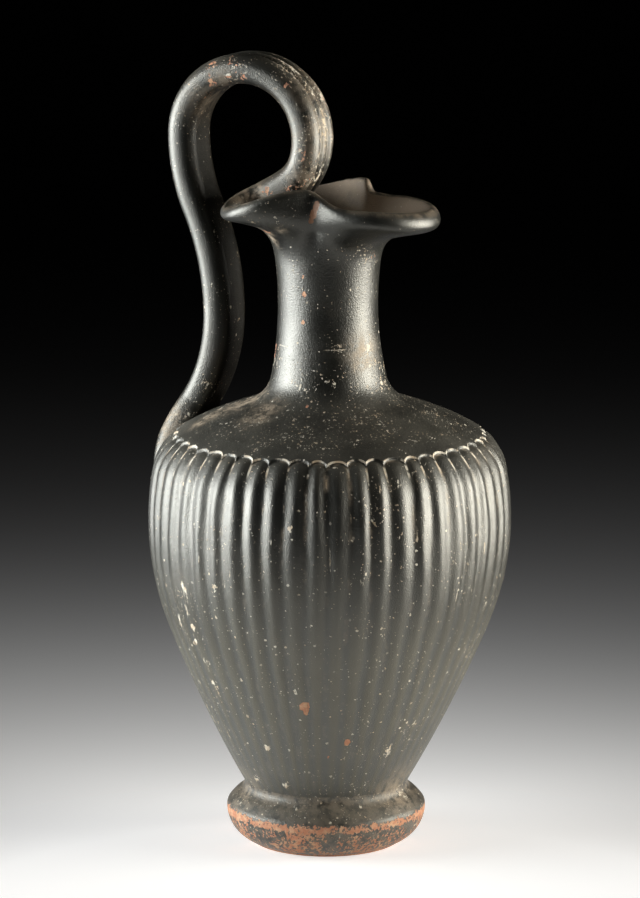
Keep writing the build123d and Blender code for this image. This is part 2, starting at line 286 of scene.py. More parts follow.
def make_foot():
    cove_run = run_at(FOOT_COVE_TOP)
    cove_start = on_profile(cove_run, FOOT_COVE_INSET)
    cove_down = (on_profile(cove_run - 1) - on_profile(cove_run)) * FOOT_COVE_EASE
    edge = (FOOT_RADIUS, FOOT_EDGE_HEIGHT)
    side = foot_side()
    rest_pulls = np.add(REST_PULLS, (REST_OUTER_RADIUS, 0))
    ceiling_pulls = np.add(CEILING_PULLS, (UNDERSIDE_RADIUS, 0))
    outer_flat = (REST_OUTER_RADIUS - REST_OUTER_FLAT, 0)
    inner_flat = (REST_INNER_RADIUS + REST_INNER_FLAT, 0)
    ceiling_edge = (UNDERSIDE_RADIUS - CEILING_EDGE_INSET, UNDERSIDE_RECESS)
    cove_end_pull = np.add(FOOT_COVE_END, COVE_PULL)
    profile = [(0, belly_base), (cove_start[0] - FOOT_TOP_INSET, belly_base)]
    profile += [*bezier(cove_start, cove_start + cove_down, cove_end_pull, FOOT_COVE_END, FOOT_ROWS["cove"])]
    profile += [*bezier(FOOT_COVE_END, *SLOPE_PULLS, FOOT_SLOPE_END, FOOT_ROWS["slope"])]
    profile += [*bezier(FOOT_SLOPE_END, *EDGE_PULLS, edge, FOOT_ROWS["edge"]), *side[:-1]]
    profile += [*bezier(side[-1], *rest_pulls, outer_flat, FOOT_ROWS["rest"])]
    profile += [*bezier(inner_flat, *UNDER_PULLS, UNDER_SLOPE_START, FOOT_ROWS["under"])]
    profile += [*bezier(UNDER_SLOPE_START, *ceiling_pulls, ceiling_edge, FOOT_ROWS["ceiling"]), ceiling_edge]
    profile += [(radius, UNDERSIDE_RECESS - sag) for radius, sag in CEILING_SAGS]
    add_piece("ring_foot", turned(profile, round_bearings(FOOT_COLUMNS)), False)


# Ribbed belly: a turned wall whose ribs, arched at the top, are pressed in by a node tree

RIB_COUNT = 52
RIB_CURVE = 8.4
ARCH_TOP = 147.5
BELLY_PIECE_TOP = 150.6
ARCH_STEP_WIDTH = 1.0
RIB_LINE_DEPTH = 0.09
RIB_LINE_WIDTH = 0.6
RIB_FADE = 0.2
RIB_UNEVEN = 0.2
RIB_SHIFT = 0.1
RIB_SWAY_SCALE = 9.0
RIB_SWAY_STRETCH = 4.0
RIB_SWAY_GAIN = 4.0
ARCH_HEIGHTS = (-0.5, 0.35)
ARCH_BAND = (7.0, 2.6)
ARCH_ROW_GAP = 0.3
ABOVE_ARCH_START = 0.6
ABOVE_ARCH_ROWS = 5
BELOW_ARCH_GAPS = (2.4, 0.5)
BELOW_ARCH_STEPS = 400
BELOW_ARCH_SLACK = 1.02
INNER_ROWS = 24
FLOOR_COVE = 3.0
FLOOR_COVE_END = 1.0
FLOOR_CORNER_INSET = 4.0
OFF_WALL = -50.0
LEAST_GIRTH = 1e-6
# Lengths below the arch line over which the ribs' form changes
SOFT_RANGE = (0.0, 12.0)
SOFT_SHARES = (0.75, 1.0)
LINE_RANGE = (3.0, 12.0)
FADE_RANGE = (20.0, 120.0)
RIB_COLUMN_SHARES = (0.1, 0.2, 0.29, 0.37, 0.43, 0.47)


def belly_runs():
    """Lengths along the profile for the belly's rows, close together at the arches."""
    arch = run_at(ARCH_TOP)
    top = run_at(BELLY_PIECE_TOP)
    fine = np.arange(arch - ARCH_BAND[0], arch + ARCH_BAND[1], ARCH_ROW_GAP)
    above = np.concatenate([np.linspace(fine[-1] + ABOVE_ARCH_START, top - SEAM_ROW, ABOVE_ARCH_ROWS), [top]])
    below = np.cumsum(np.linspace(*BELOW_ARCH_GAPS, BELOW_ARCH_STEPS))
    below = below[below < fine[0] * BELOW_ARCH_SLACK]
    below = below * (fine[0] / (below[-1] + BELOW_ARCH_GAPS[-1]))
    return np.concatenate([[0], below, fine, above]), arch


def make_belly():
    runs, arch = belly_runs()
    outer = on_profile(runs)
    shares = np.array([-s for s in RIB_COLUMN_SHARES[::-1]] + [0, *RIB_COLUMN_SHARES, 0.5])
    rib_turns = (np.arange(RIB_COUNT)[:, None] + shares).ravel()
    floor = belly_base + FLOOR_THICKNESS
    inner_runs = np.linspace(run_at(BELLY_PIECE_TOP), run_at(floor + FLOOR_COVE), INNER_ROWS)
    inner = on_profile(inner_runs, WALL)
    inner = inner[inner[:, 1] > floor + FLOOR_COVE_END]
    floor_corner = (inner[-1, 0] - FLOOR_CORNER_INSET, floor)
    profile = np.concatenate([[(0, belly_base)], outer, inner, [floor_corner, (0, floor)]])
    bearings = rib_turns * 2 * pi / RIB_COUNT
    rows, columns = len(profile), len(bearings)
    wall_rows = slice(1, 1 + len(runs))
    on_wall, tilt, below_arch = np.zeros(rows), np.zeros(rows), np.full(rows, OFF_WALL)
    on_wall[wall_rows] = 1
    tilt[wall_rows] = np.interp(runs, profile_run, profile_turns)
    below_arch[wall_rows] = arch - runs
    by_row = {"below_arch": below_arch, "ribbed": on_wall, "tilt": tilt, "girth": profile[:, 0]}
    fields = {"rib_turn": np.broadcast_to(rib_turns, (rows, columns))}
    for field, values in by_row.items():
        fields[field] = np.broadcast_to(values[:, None], (rows, columns))
    add_piece("ribbed_belly", turned(profile, bearings), False, fields)


class Nodes:
    """Adds nodes to a tree and joins them; plain values are set on the sockets."""

    def __init__(self, tree):
        self.tree = tree

    def add(self, kind, inputs=(), **settings):
        node = self.tree.nodes.new(kind)
        for key, value in settings.items():
            setattr(node, key, value)
        for key, value in dict(inputs).items():
            self.put(node.inputs[key], value)
        return node

    def put(self, socket, value):
        if isinstance(value, bpy.types.NodeSocket):
            self.tree.links.new(value, socket)
        elif value is not None:
            socket.default_value = value

    def math(self, operation, *values):
        return self.add("ShaderNodeMath", enumerate(values), operation=operation).outputs[0]

    def chain(self, operation, *values):
        result = values[0]
        for value in values[1:]:
            result = self.math(operation, result, value)
        return result

    def total(self, *values):
        return self.chain("ADD", *values)

    def product(self, *values):
        return self.chain("MULTIPLY", *values)

    def most(self, *values):
        return self.chain("MAXIMUM", *values)

    def ramp(self, value, low, high, start=0.0, end=1.0):
        """Smooth step from start to end as a value goes from low to high."""
        inputs = {0: value, 1: low, 2: high, 3: start, 4: end}
        return self.add("ShaderNodeMapRange", inputs, interpolation_type="SMOOTHSTEP").outputs[0]

    def blend(self, share, first, second):
        """Colour between two colours."""
        return self.add("ShaderNodeMix", {0: share, 6: first, 7: second}, data_type="RGBA").outputs[2]

    def noise(self, place, size, detail=2.0, roughness=0.5):
        """Clouds of about one size, in millimetres."""
        inputs = {"Vector": place, "Scale": 1 / (size * MM), "Detail": detail, "Roughness": roughness}
        return self.add("ShaderNodeTexNoise", inputs).outputs[0]


RIB_INPUTS = {
    "Rib Count": RIB_COUNT,
    "Rib Curve": RIB_CURVE,
    "Step Width": ARCH_STEP_WIDTH,
    "Line Depth": RIB_LINE_DEPTH,
    "Line Width": RIB_LINE_WIDTH,
    "Fade": RIB_FADE,
    "Uneven": RIB_UNEVEN,
    "Shift": RIB_SHIFT,
}


class RibNodes(Nodes):
    """Nodes of the rib tree, which reads fields that the belly's mesh keeps."""

    def field(self, name):
        return self.add("GeometryNodeInputNamedAttribute", {"Name": name}, data_type="FLOAT").outputs[0]

    def own(self, number, seed, low, high):
        """Value that each rib has for itself."""
        inputs = {"ID": number, "Seed": seed, 2: low, 3: high}
        return self.add("FunctionNodeRandomValue", inputs, data_type="FLOAT").outputs[1]

    def fall(self, curve, side):
        """How far a round crest has fallen at a distance from its middle."""
        squares = self.math("SUBTRACT", self.product(curve, curve), self.product(side, side))
        return self.math("SUBTRACT", curve, self.math("SQRT", squares))


def rib_crown(n, given, number, half, inside):
    """How far each point of a rib lies below the level of an even crest."""
    round_crown = n.fall(given["Rib Curve"], inside)
    groove_depth = n.fall(given["Rib Curve"], half)

    # Lower down the ribs are rubbed to soft waves
    wave = n.math("COSINE", n.product(n.math("DIVIDE", inside, half), pi))
    soft_crown = n.product(groove_depth, n.math("SUBTRACT", 1.0, wave), 0.5)
    soft = n.ramp(n.field("below_arch"), *SOFT_RANGE, *SOFT_SHARES)
    crown = n.total(n.product(round_crown, n.math("SUBTRACT", 1.0, soft)), n.product(soft_crown, soft))

    # The grooves lie level with one another, and only the crests stand unevenly
    uneven = n.math("ADD", 1.0, n.product(n.own(number, SEED + 1, -1.0, 1.0), given["Uneven"]))
    return n.math("SUBTRACT", groove_depth, n.product(n.math("SUBTRACT", groove_depth, crown), uneven))


def rib_press(n, given):
    """How deep each point of the wall is pressed in, in metres, and how far it is past its rib's edge."""
    below_arch = n.field("below_arch")
    centred = n.math("ADD", n.field("rib_turn"), 0.5)
    share = n.math("SUBTRACT", n.math("FRACT", centred), 0.5)
    number = n.math("MODULO", n.math("FLOOR", centred), given["Rib Count"])

    # Each rib is as wide as its share of the girth, and its arch is a half circle of that width
    half = n.math("DIVIDE", n.math("MULTIPLY", n.field("girth"), pi), given["Rib Count"])
    side = n.product(n.math("ABSOLUTE", share), half, 2.0)
    lowered = n.math("ADD", below_arch, n.own(number, SEED, *ARCH_HEIGHTS))
    above = n.math("MAXIMUM", n.math("SUBTRACT", half, lowered), 0.0)
    reach = n.math("SQRT", n.math("ADD", n.product(side, side), n.product(above, above)))
    edge = n.math("SUBTRACT", reach, half)
    crown = rib_crown(n, given, number, half, n.math("MINIMUM", reach, half))

    # Past the arch the wall steps out again, with a fine line along the step
    outside = n.math("DIVIDE", n.math("MAXIMUM", edge, 0.0), given["Step Width"])
    step = n.ramp(outside, 0.0, 1.0, 1.0, 0.0)
    line_place = n.math("DIVIDE", edge, given["Line Width"])
    line = n.math("EXPONENT", n.product(line_place, line_place, -1.0))
    line = n.product(line, n.ramp(below_arch, *LINE_RANGE, 1.0, 0.0))
    press = n.math("ADD", n.product(crown, step), n.product(line, given["Line Depth"]))
    fade = n.ramp(below_arch, *FADE_RANGE, 1.0, given["Fade"])
    return n.product(press, fade, n.field("ribbed"), -MM), edge


def pressed_place(n, given, press):
    """Place of each point, pressed along the wall's own tilt and moved a little round the jug."""
    position = n.add("GeometryNodeInputPosition").outputs[0]
    along = n.add("ShaderNodeSeparateXYZ", {0: position}).outputs
    flat_length = n.math("MAXIMUM", n.product(n.field("girth"), MM), LEAST_GIRTH)
    tilt = n.field("tilt")
    radial = n.math("DIVIDE", n.math("COSINE", tilt), flat_length)
    offset = n.add("ShaderNodeCombineXYZ", {
        0: n.product(along[0], radial, press),
        1: n.product(along[1], radial, press),
        2: n.product(n.math("SINE", tilt), press),
    }).outputs[0]
    pressed = n.add("ShaderNodeVectorMath", {0: position, 1: offset}, operation="ADD").outputs[0]
    bearing_place = n.add("ShaderNodeCombineXYZ", {
        0: n.math("DIVIDE", along[0], flat_length),
        1: n.math("DIVIDE", along[1], flat_length),
        2: n.math("MULTIPLY", along[2], RIB_SWAY_STRETCH),
    }).outputs[0]
    sway_inputs = {"Vector": bearing_place, "Scale": RIB_SWAY_SCALE, "Detail": 1.0}
    sway = n.add("ShaderNodeTexNoise", sway_inputs).outputs[0]
    rib_angle = n.math("DIVIDE", 2 * pi, given["Rib Count"])
    shift = n.product(n.math("SUBTRACT", sway, 0.5), given["Shift"], rib_angle, RIB_SWAY_GAIN)
    turn_inputs = {"Vector": pressed, "Angle": shift}
    return n.add("ShaderNodeVectorRotate", turn_inputs, rotation_type="Z_AXIS").outputs[0]


def rib_tree():
    """Node tree that presses arched ribs into a turned wall, its inputs' values and its finish's socket."""
    tree = bpy.data.node_groups.new("rib_press", "GeometryNodeTree")
    for in_out in ("INPUT", "OUTPUT"):
        tree.interface.new_socket("Geometry", in_out=in_out, socket_type="NodeSocketGeometry")
    values = {}
    for label, value in RIB_INPUTS.items():
        socket = tree.interface.new_socket(label, in_out="INPUT", socket_type="NodeSocketFloat")
        values[socket.identifier] = float(value)
    finish = tree.interface.new_socket("Finish", in_out="INPUT", socket_type="NodeSocketMaterial")
    n = RibNodes(tree)
    given = n.add("NodeGroupInput").outputs
    press, edge = rib_press(n, given)
    place = pressed_place(n, given, press)
    moved = n.add("GeometryNodeSetPosition", {"Geometry": given["Geometry"], "Position": place}).outputs[0]
    edge_inputs = {"Geometry": moved, "Name": "arch_edge", "Value": edge}
    edge_kind = {"data_type": "FLOAT", "domain": "POINT"}
    marked = n.add("GeometryNodeStoreNamedAttribute", edge_inputs, **edge_kind).outputs[0]
    realized = n.add("GeometryNodeRealizeInstances", {"Geometry": marked}).outputs[0]
    coated = n.add("GeometryNodeSetMaterial", {"Geometry": realized, "Material": given["Finish"]}).outputs[0]
    n.add("NodeGroupOutput", {"Geometry": coated})
    return tree, values, finish.identifier


def press_ribs(belly, finish):
    """Run the rib tree on the belly and keep its result as a plain mesh."""
    tree, values, finish_socket = rib_tree()
    modifier = belly.modifiers.new("ribs", "NODES")
    modifier.node_group = tree
    for identifier, value in values.items():
        modifier[identifier] = value
    modifier[finish_socket] = finish
    graph = bpy.context.evaluated_depsgraph_get()
    mesh = bpy.data.meshes.new_from_object(belly.evaluated_get(graph), depsgraph=graph)
    belly.modifiers.remove(modifier)
    belly.data = mesh
    mesh.name = belly.name


# Shoulder and neck: turned walls between the seams

WALL_COLUMNS = 360
WALL_ROW_GAP = 0.8
SEAM_ROW = 0.03


def make_wall(name, low, high):
    start, end = run_at(low), run_at(high)
    outer_runs = np.linspace(start + SEAM_ROW, end - SEAM_ROW, int((end - start) / WALL_ROW_GAP))
    outer_runs = np.concatenate([[start], outer_runs, [end]])
    profile = np.concatenate([on_profile(outer_runs), on_profile(outer_runs[::-3], WALL)])
    add_piece(name, turned(profile, round_bearings(WALL_COLUMNS)), True)


# Trefoil mouth: a wall that turns out sharply over the neck and rounds up to a thick lip, drawn into a spout,
# two pinched sides and two rear lobes; the sides aren't quite alike

# Stops of each measure: an angle from the spout and its value. Under is the height of the lip's underside,
# wide and tall are the rounding of its upper edge, and hug is how closely the underside keeps to the corner
# at the neck
FAR_SIDE = {
    "reach": [(0, 41.0), (67, 22.8), (132, 38.3), (180, 37.0)],
    "rise": [(0, 19.6), (50, 21.4), (62, 22.0), (79, 26.0), (140, 19.8), (180, 19.3)],
    "tilt": [(0, 24.0), (67, 76.0), (132, 28.0), (180, 30.0)],
    "under": [(0, 11.2), (67, 13.2), (132, 14.5), (180, 14.7)],
    "wide": [(0, 3.6), (67, 2.2), (132, 2.6), (180, 2.6)],
    "tall": [(0, 4.2), (67, 3.0), (132, 2.8), (180, 2.8)],
    "hug": [(0, 0.85), (67, 0.5), (132, 0.75), (180, 0.8)],
    "crease": 0.5,
}
NEAR_SIDE = {
    "reach": [(0, 41.0), (79, 22.2), (136, 37.7), (180, 37.0)],
    "rise": [(0, 19.6), (48, 21.3), (90, 27.6), (145, 19.7), (180, 19.3)],
    "tilt": [(0, 24.0), (79, 76.0), (136, 28.0), (180, 30.0)],
    "under": [(0, 11.2), (79, 13.2), (136, 14.3), (180, 14.7)],
    "wide": [(0, 3.6), (79, 2.2), (136, 2.6), (180, 2.6)],
    "tall": [(0, 4.2), (79, 3.0), (136, 2.8), (180, 2.8)],
    "hug": [(0, 0.85), (79, 0.5), (136, 0.75), (180, 0.8)],
    "crease": 0.9,
}
UNDERSIDE_FALL = 14.0
UNDERSIDE_SHARE = 0.66
FLARE_EASE = 12.0
NECK_EASE = 8.5
LOBE_FULLNESS = 0.62
PINCH_ROUNDING = 0.04
CREASE_WIDTH = 10.0
BULGE_PULLS = (0.45, 0.36)
CREST_RANGE = (-0.5, 1.4)
MOUTH_COLUMNS = 320
MOUTH_WALL_ROWS = 30
MOUTH_BULGE_ROWS = 16
MOUTH_LIP_ROWS = 14


def lip_value(angle, stops, fullness=1.0):
    """A lip measure at an angle from the spout, eased between its stops, fuller towards the larger."""
    for (low_angle, low), (high_angle, high) in zip(stops, stops[1:]):
        if angle <= high_angle:
            share = (1 - cos(pi * (angle - low_angle) / (high_angle - low_angle))) / 2
            if low > high:
                low, high, share = high, low, 1 - share
            least = PINCH_ROUNDING**fullness
            most = (1 + PINCH_ROUNDING) ** fullness
            fuller = ((share + PINCH_ROUNDING) ** fullness - least) / (most - least)
            return low + (high - low) * fuller
    return stops[-1][1]


def lip_section(bearing):
    """Ring of points of the mouth's wall in the half plane at a bearing from the spout."""
    side, turn = (FAR_SIDE, bearing) if bearing <= 180 else (NEAR_SIDE, 360 - bearing)
    tilt = radians(lip_value(turn, side["tilt"]))
    reach = lip_value(turn, side["reach"], LOBE_FULLNESS)
    measures = ("rise", "under", "wide", "tall", "hug")
    rise, under_rise, wide, tall, hug = (lip_value(turn, side[measure]) for measure in measures)
    middle = np.array([reach - wide, mouth_base + rise - tall])
    side_point = middle + (wide, 0)
    last = pi / 2 + atan(tan(tilt) * wide / tall)
    upper = middle + (wide * cos(last), tall * sin(last))
    under_turn = tilt - radians(UNDERSIDE_FALL)
    outer_base = on_profile(profile_run[-1])
    inner_base = outer_base - (WALL, 0)
    lift_pull = spoke(profile_turns[-1] + pi / 2) * NECK_EASE
    # Each pinched side is creased under the lip
    crease = side["crease"] * exp(-(((turn - side["reach"][1][0]) / CREASE_WIDTH) ** 2))
    under_radius = outer_base[0] + (reach - outer_base[0]) * UNDERSIDE_SHARE - crease
    under = np.array([under_radius, mouth_base + under_rise])
    under_pull = under - spoke(under_turn) * hug * (under[0] - outer_base[0])
    flare = bezier(outer_base, outer_base + lift_pull, under_pull, under, MOUTH_WALL_ROWS)
    gap = np.linalg.norm(side_point - under)
    bulge_pull = under + spoke(under_turn) * BULGE_PULLS[0] * gap
    bulge = bezier(under, bulge_pull, side_point - (0, BULGE_PULLS[1] * gap), side_point, MOUTH_BULGE_ROWS)
    lip_turns = np.linspace(0, last, MOUTH_LIP_ROWS, endpoint=False)
    lip = middle + np.stack([wide * np.cos(lip_turns), tall * np.sin(lip_turns)], -1)
    inner_pull = upper - spoke(tilt) * FLARE_EASE
    inner = bezier(upper, inner_pull, inner_base + lift_pull, inner_base, MOUTH_WALL_ROWS)
    seam = outer_base + lift_pull * (SEAM_ROW / NECK_EASE)
    return np.concatenate([[outer_base, seam], flare[1:], bulge, lip, inner, [inner_base]])


def make_mouth():
    bearings = np.degrees(round_bearings(MOUTH_COLUMNS))
    sections = np.array([lip_section(b) for b in bearings])
    turns = np.radians(bearings)[:, None]
    x = sections[:, :, 0] * np.cos(turns)
    y = sections[:, :, 0] * np.sin(turns)
    grid = np.stack([x, y, sections[:, :, 1]], -1).transpose(1, 0, 2)
    inside = np.zeros(grid.shape[:2])
    lip_start = MOUTH_WALL_ROWS + MOUTH_BULGE_ROWS
    inside[lip_start + MOUTH_LIP_ROWS - 1:] = 1
    crest = np.zeros(grid.shape[:2])
    crest[lip_start:lip_start + MOUTH_LIP_ROWS] = ease(np.linspace(*CREST_RANGE, MOUTH_LIP_ROWS))[:, None]
    add_piece("trefoil_mouth", grid, True, {"inside": inside, "crest": crest})


# Strap handle: a tongue on the back of the rim, a loop, an S down to the shoulder and a root over its edge

STRAP_WIDTH = 19.0
STRAP_THICKNESS = 10.5
STRAP_CORNER = 4.6
REED_GROOVE = 0.9
REED_GROOVE_WIDTH = 1.0
REED_SPACING = 5.6
LOOP_RADIUS = 24.0
LOOP_INSET = 6.0
LOOP_LIFT = 23.5
LOOP_START_ANGLE = -66.0
BACK_REACH = 36.0
BACK_RISE = 18.5
UPPER_BEND = 65.0
HANDLE_LEAN = 24.0
ROOT_SPLAY = 34.0
ROOT_CLEARANCE = 6.4
TONGUE_START_ANGLE = -32.0
TONGUE_END = (-36.6, 228.2)
TONGUE_WIDTH = 47.0
TONGUE_END_THICKNESS = 1.6
TONGUE_END_SHARE = 0.3
TONGUE_END_DROP = 1.8
RIM_CURVE = 38.0
ROOT_WIDTH = 31.0
ROOT_ROUND_SHARE = 0.5
ROOT_TIP_SHARE = 0.3
ROOT_WRAP = 0.6
ROOT_EASE = 1.6
ROOT_STATIONS = 29
# Angle above the level, cover over the shoulder's edge and width
ROOT_OVER_EDGE = [(50, 5.6, 24), (30, 3.4, 28)]
# Length below the shoulder's edge and cover over the belly
ROOT_ON_BELLY = [(0, 1.9), (7, 1.2), (14, -0.8)]
EDGE_BEDDING = 6.0
BELLY_BEDDING = 4.0
STATION_GAP = 1.0
LOOK_AHEAD = 0.2
REED_START_TURN = 0.6
TONGUE_STATIONS = 26
TONGUE_CROWDING = 1.4
TONGUE_SPREAD = 1.6
TONGUE_SOFTENING = 2.0
LEAST_FACING = 0.05
CORNER_LIMIT = 0.49
STRAP_OUTER_POINTS = 30
STRAP_SIDE_POINTS = 12
STRAP_INNER_POINTS = 12

# The tongue's upper face runs straight from the loop's inside down to the rim's back edge
loop_centre = np.array([LOOP_INSET - BACK_REACH, mouth_base + BACK_RISE + LOOP_LIFT])
loop_start = radians(LOOP_START_ANGLE)
loop_outer = LOOP_RADIUS + STRAP_THICKNESS / 2
loop_inner = LOOP_RADIUS - STRAP_THICKNESS / 2
tongue_start = loop_centre + spoke(radians(TONGUE_START_ANGLE)) * loop_inner
tongue_end = np.array(TONGUE_END)
tongue_along = (tongue_end - tongue_start) / np.linalg.norm(tongue_end - tongue_start)
tongue_out = np.array([-tongue_along[1], tongue_along[0]])


def near_lines(across, lines):
    """How close points across the strap are to lines that run along it."""
    return sum(np.exp(-(((across - line) / REED_GROOVE_WIDTH) ** 2)) for line in lines)


def strap_ring(width, thickness, corner, groove):
    """Ring of points of the strap's section, across it and out of it, and how far each is on a ridge."""
    corner = min(corner, CORNER_LIMIT * thickness, CORNER_LIMIT * width)
    flat = width / 2 - corner
    outer = np.linspace(flat, -flat, STRAP_OUTER_POINTS)
    dip = near_lines(outer, (-REED_SPACING / 2, REED_SPACING / 2))
    turn = np.linspace(pi / 2, 3 * pi / 2, STRAP_SIDE_POINTS + 2)[1:-1]
    side_middle = np.where(np.sin(turn) > 0, thickness / 2 - corner, corner - thickness / 2)
    side = np.stack([np.cos(turn) * corner - flat, side_middle + np.sin(turn) * corner], -1)
    inner = np.linspace(-flat, flat, STRAP_INNER_POINTS)
    ring = np.concatenate([
        np.stack([outer, thickness / 2 - groove * dip], -1),
        side,
        np.stack([inner, np.full(STRAP_INNER_POINTS, -thickness / 2)], -1),
        side[::-1] * (-1, 1),
    ])
    ridge = np.zeros(len(ring))
    ridge[:len(outer)] = near_lines(outer, (-REED_SPACING, 0, REED_SPACING))
    return ring, ridge


# A station of the strap is its middle, outward direction, width, thickness, corner, groove depth and the
# share by which it bows round the rim or the belly

def inner_face(turn):
    """Radius of the strap's inner face, where the loop runs into the tongue's upper face."""
    to_line = ((tongue_start - loop_centre) @ tongue_out) / max(spoke(turn) @ tongue_out, LEAST_FACING)
    return -log(exp(-loop_inner) + exp(-to_line))


def tongue_stations():
    """Stations from the tongue's end on the rim to the loop."""
    leave = loop_centre + spoke(loop_start) * inner_face(loop_start)
    thick = loop_outer - inner_face(loop_start)
    stations = []
    for share in 1 - np.linspace(0, 1, TONGUE_STATIONS, endpoint=False) ** TONGUE_CROWDING:
        rounded = max(0.0, share - 1 + TONGUE_END_SHARE) / TONGUE_END_SHARE
        end_drop = TONGUE_END_DROP * (1 - sqrt(1 - rounded**2))
        upper = leave + (tongue_end - leave) * share - (0, end_drop)
        thickness = thick + (TONGUE_END_THICKNESS - thick) * share
        width = STRAP_WIDTH + (TONGUE_WIDTH - STRAP_WIDTH) * share**TONGUE_SPREAD
        out = spoke(loop_start) + (tongue_out - spoke(loop_start)) * share
        corner = STRAP_CORNER + TONGUE_SOFTENING * float(ease(share * 2))
        stations.append((upper + out * thickness / 2, out, width, thickness, corner, 0, share))
    return stations


def loop_stations():
    """Stations round the loop, whose reeds begin a little way up."""
    stations = []
    for turn in np.arange(loop_start, pi, STATION_GAP / LOOP_RADIUS):
        groove = REED_GROOVE * float(ease((turn - loop_start) / REED_START_TURN))
        inner = inner_face(turn)
        middle = loop_centre + spoke(turn) * (loop_outer + inner) / 2
        stations.append((middle, spoke(turn), STRAP_WIDTH, loop_outer - inner, STRAP_CORNER, groove, 0))
    return stations


def rotated(vector, angle):
    """Vector in radius and height, turned by an angle."""
    across, up = vector
    return np.array([across * cos(angle) - up * sin(angle), across * sin(angle) + up * cos(angle)])


def bend_stations():
    """Stations of the S, three bends from the loop's end to the shoulder's edge."""
    lean, splay = radians(HANDLE_LEAN), radians(ROOT_SPLAY)
    point, heading = loop_centre - (LOOP_RADIUS, 0), -pi / 2
    edge = turn_end * (-1, 1)
    root = edge + spoke(pi - slope_turn) * ROOT_CLEARANCE + spoke(pi / 2 - slope_turn) * STRAP_THICKNESS / 2
    drop, drift = point[1] - root[1], root[0] - point[0]
    lean_in, splay_out = 1 - cos(lean), 1 - cos(splay)
    lower_bend = (drop * lean_in - drift * sin(lean)) / (splay_out * sin(lean) + lean_in * sin(splay))
    middle_bend = (drop - lower_bend * sin(splay)) / sin(lean) - UPPER_BEND
    shape = (STRAP_WIDTH, STRAP_THICKNESS, STRAP_CORNER, REED_GROOVE, 0)
    stations = []
    for radius, turn in ((UPPER_BEND, lean), (middle_bend, -lean), (lower_bend, -splay)):
        sense = 1 if turn > 0 else -1
        inward = spoke(heading + pi / 2) * sense
        centre = point + inward * radius
        for share in np.arange(0, 1, STATION_GAP / (radius * abs(turn))):
            here = rotated(inward, turn * share)
            stations.append((centre - here * radius, here * -sense, *shape))
        point, heading = centre - rotated(inward, turn) * radius, heading + turn
    return stations


def root_keys(last_middle, last_out):
    """Places of the root's outer face, bent over the shoulder's edge, and its widths and thicknesses."""
    keys = [(last_middle + last_out * STRAP_THICKNESS / 2, STRAP_WIDTH, STRAP_THICKNESS)]
    for angle, cover, width in ROOT_OVER_EDGE:
        face = turn_centre * (-1, 1) + spoke(pi - radians(angle)) * (TURN_CURVE + cover)
        keys.append((face, width, cover + EDGE_BEDDING))
    edge_run = run_at(turn_centre[1] + TURN_CURVE * sin(edge_turn))
    for below, cover in ROOT_ON_BELLY:
        face = on_profile(edge_run - below, -cover) * (-1, 1)
        keys.append((face, ROOT_WIDTH, cover + BELLY_BEDDING))
    return np.array([key[0] for key in keys]), np.array([key[1:] for key in keys], float)


def root_stations(last_middle, last_out):
    """Stations of the root, on a smooth curve through its keys."""
    faces, sizes = root_keys(last_middle, last_out)
    lengths = lengths_along(faces)
    steps = np.linspace(0, lengths[-1], ROOT_STATIONS + 1)[1:]
    widths, thicknesses = (through(lengths, values, steps) for values in sizes.T)
    here = np.stack([through(lengths, values, steps) for values in faces.T], -1)
    ahead = np.stack([through(lengths, values, steps + LOOK_AHEAD) for values in faces.T], -1)
    stations = []
    for k, share in enumerate(steps / lengths[-1]):
        along = (ahead[k] - here[k]) / np.linalg.norm(ahead[k] - here[k])
        out = np.array([along[1], -along[0]])
        eased = float(ease(share * ROOT_EASE))
        rounded = max(0.0, share - 1 + ROOT_ROUND_SHARE) / ROOT_ROUND_SHARE
        width = widths[k] * (ROOT_TIP_SHARE + (1 - ROOT_TIP_SHARE) * sqrt(1 - rounded**2))
        middle = here[k] - out * thicknesses[k] / 2
        groove = REED_GROOVE * (1 - eased)
        stations.append((middle, out, width, thicknesses[k], STRAP_CORNER, groove, ROOT_WRAP * eased))
    return stations


def through(places, values, wanted):
    """Smooth curve through values at given places, by cubic pieces with slopes from their neighbours."""
    slopes = np.gradient(values, places)
    wanted = np.asarray(wanted, float)
    k = np.clip(np.searchsorted(places, wanted) - 1, 0, len(places) - 2)
    gap = places[k + 1] - places[k]
    t = (wanted - places[k]) / gap
    return ((2 * t**3 - 3 * t**2 + 1) * values[k] + (t**3 - 2 * t**2 + t) * gap * slopes[k]
            + (3 * t**2 - 2 * t**3) * values[k + 1] + (t**3 - t**2) * gap * slopes[k + 1])


def make_handle():
    stations = tongue_stations() + loop_stations() + bend_stations()
    stations += root_stations(*stations[-1][:2])
    rings, faces, ridges = [], [], []
    for middle, out, width, thickness, corner, groove, bow_share in stations:
        ring, ridge = strap_ring(width, thickness, corner, groove)
        x = middle[0] + out[0] * ring[:, 1]
        z = middle[1] + out[1] * ring[:, 1]
        y = ring[:, 0]
        bow = RIM_CURVE - np.sqrt(np.maximum(RIM_CURVE**2 - y**2, 0))
        rings.append(np.stack([x + bow_share * bow, y, z], -1))
        faces.append(ring[:, 1] / thickness)
        ridges.append(ridge * groove / REED_GROOVE)
    fields = {"strap_face": np.array(faces), "strap_ridge": np.array(ridges)}
    add_piece("strap_handle", np.array(rings), False, fields)


# Camera: the photograph's viewpoint, on a picture of 640 by 898

PICTURE_WIDTH = 640
PICTURE_HEIGHT = 898
CAMERA_BEARING = 25.0
CAMERA_DISTANCE = 1700.0
CAMERA_HEIGHT = 480.0
AIM_LEFT = 2.8
AIM_HEIGHT = 141.2
FOCAL_PIXELS = 4927.3
SENSOR = 36.0
CLIP_RANGE = (0.05, 50.0)

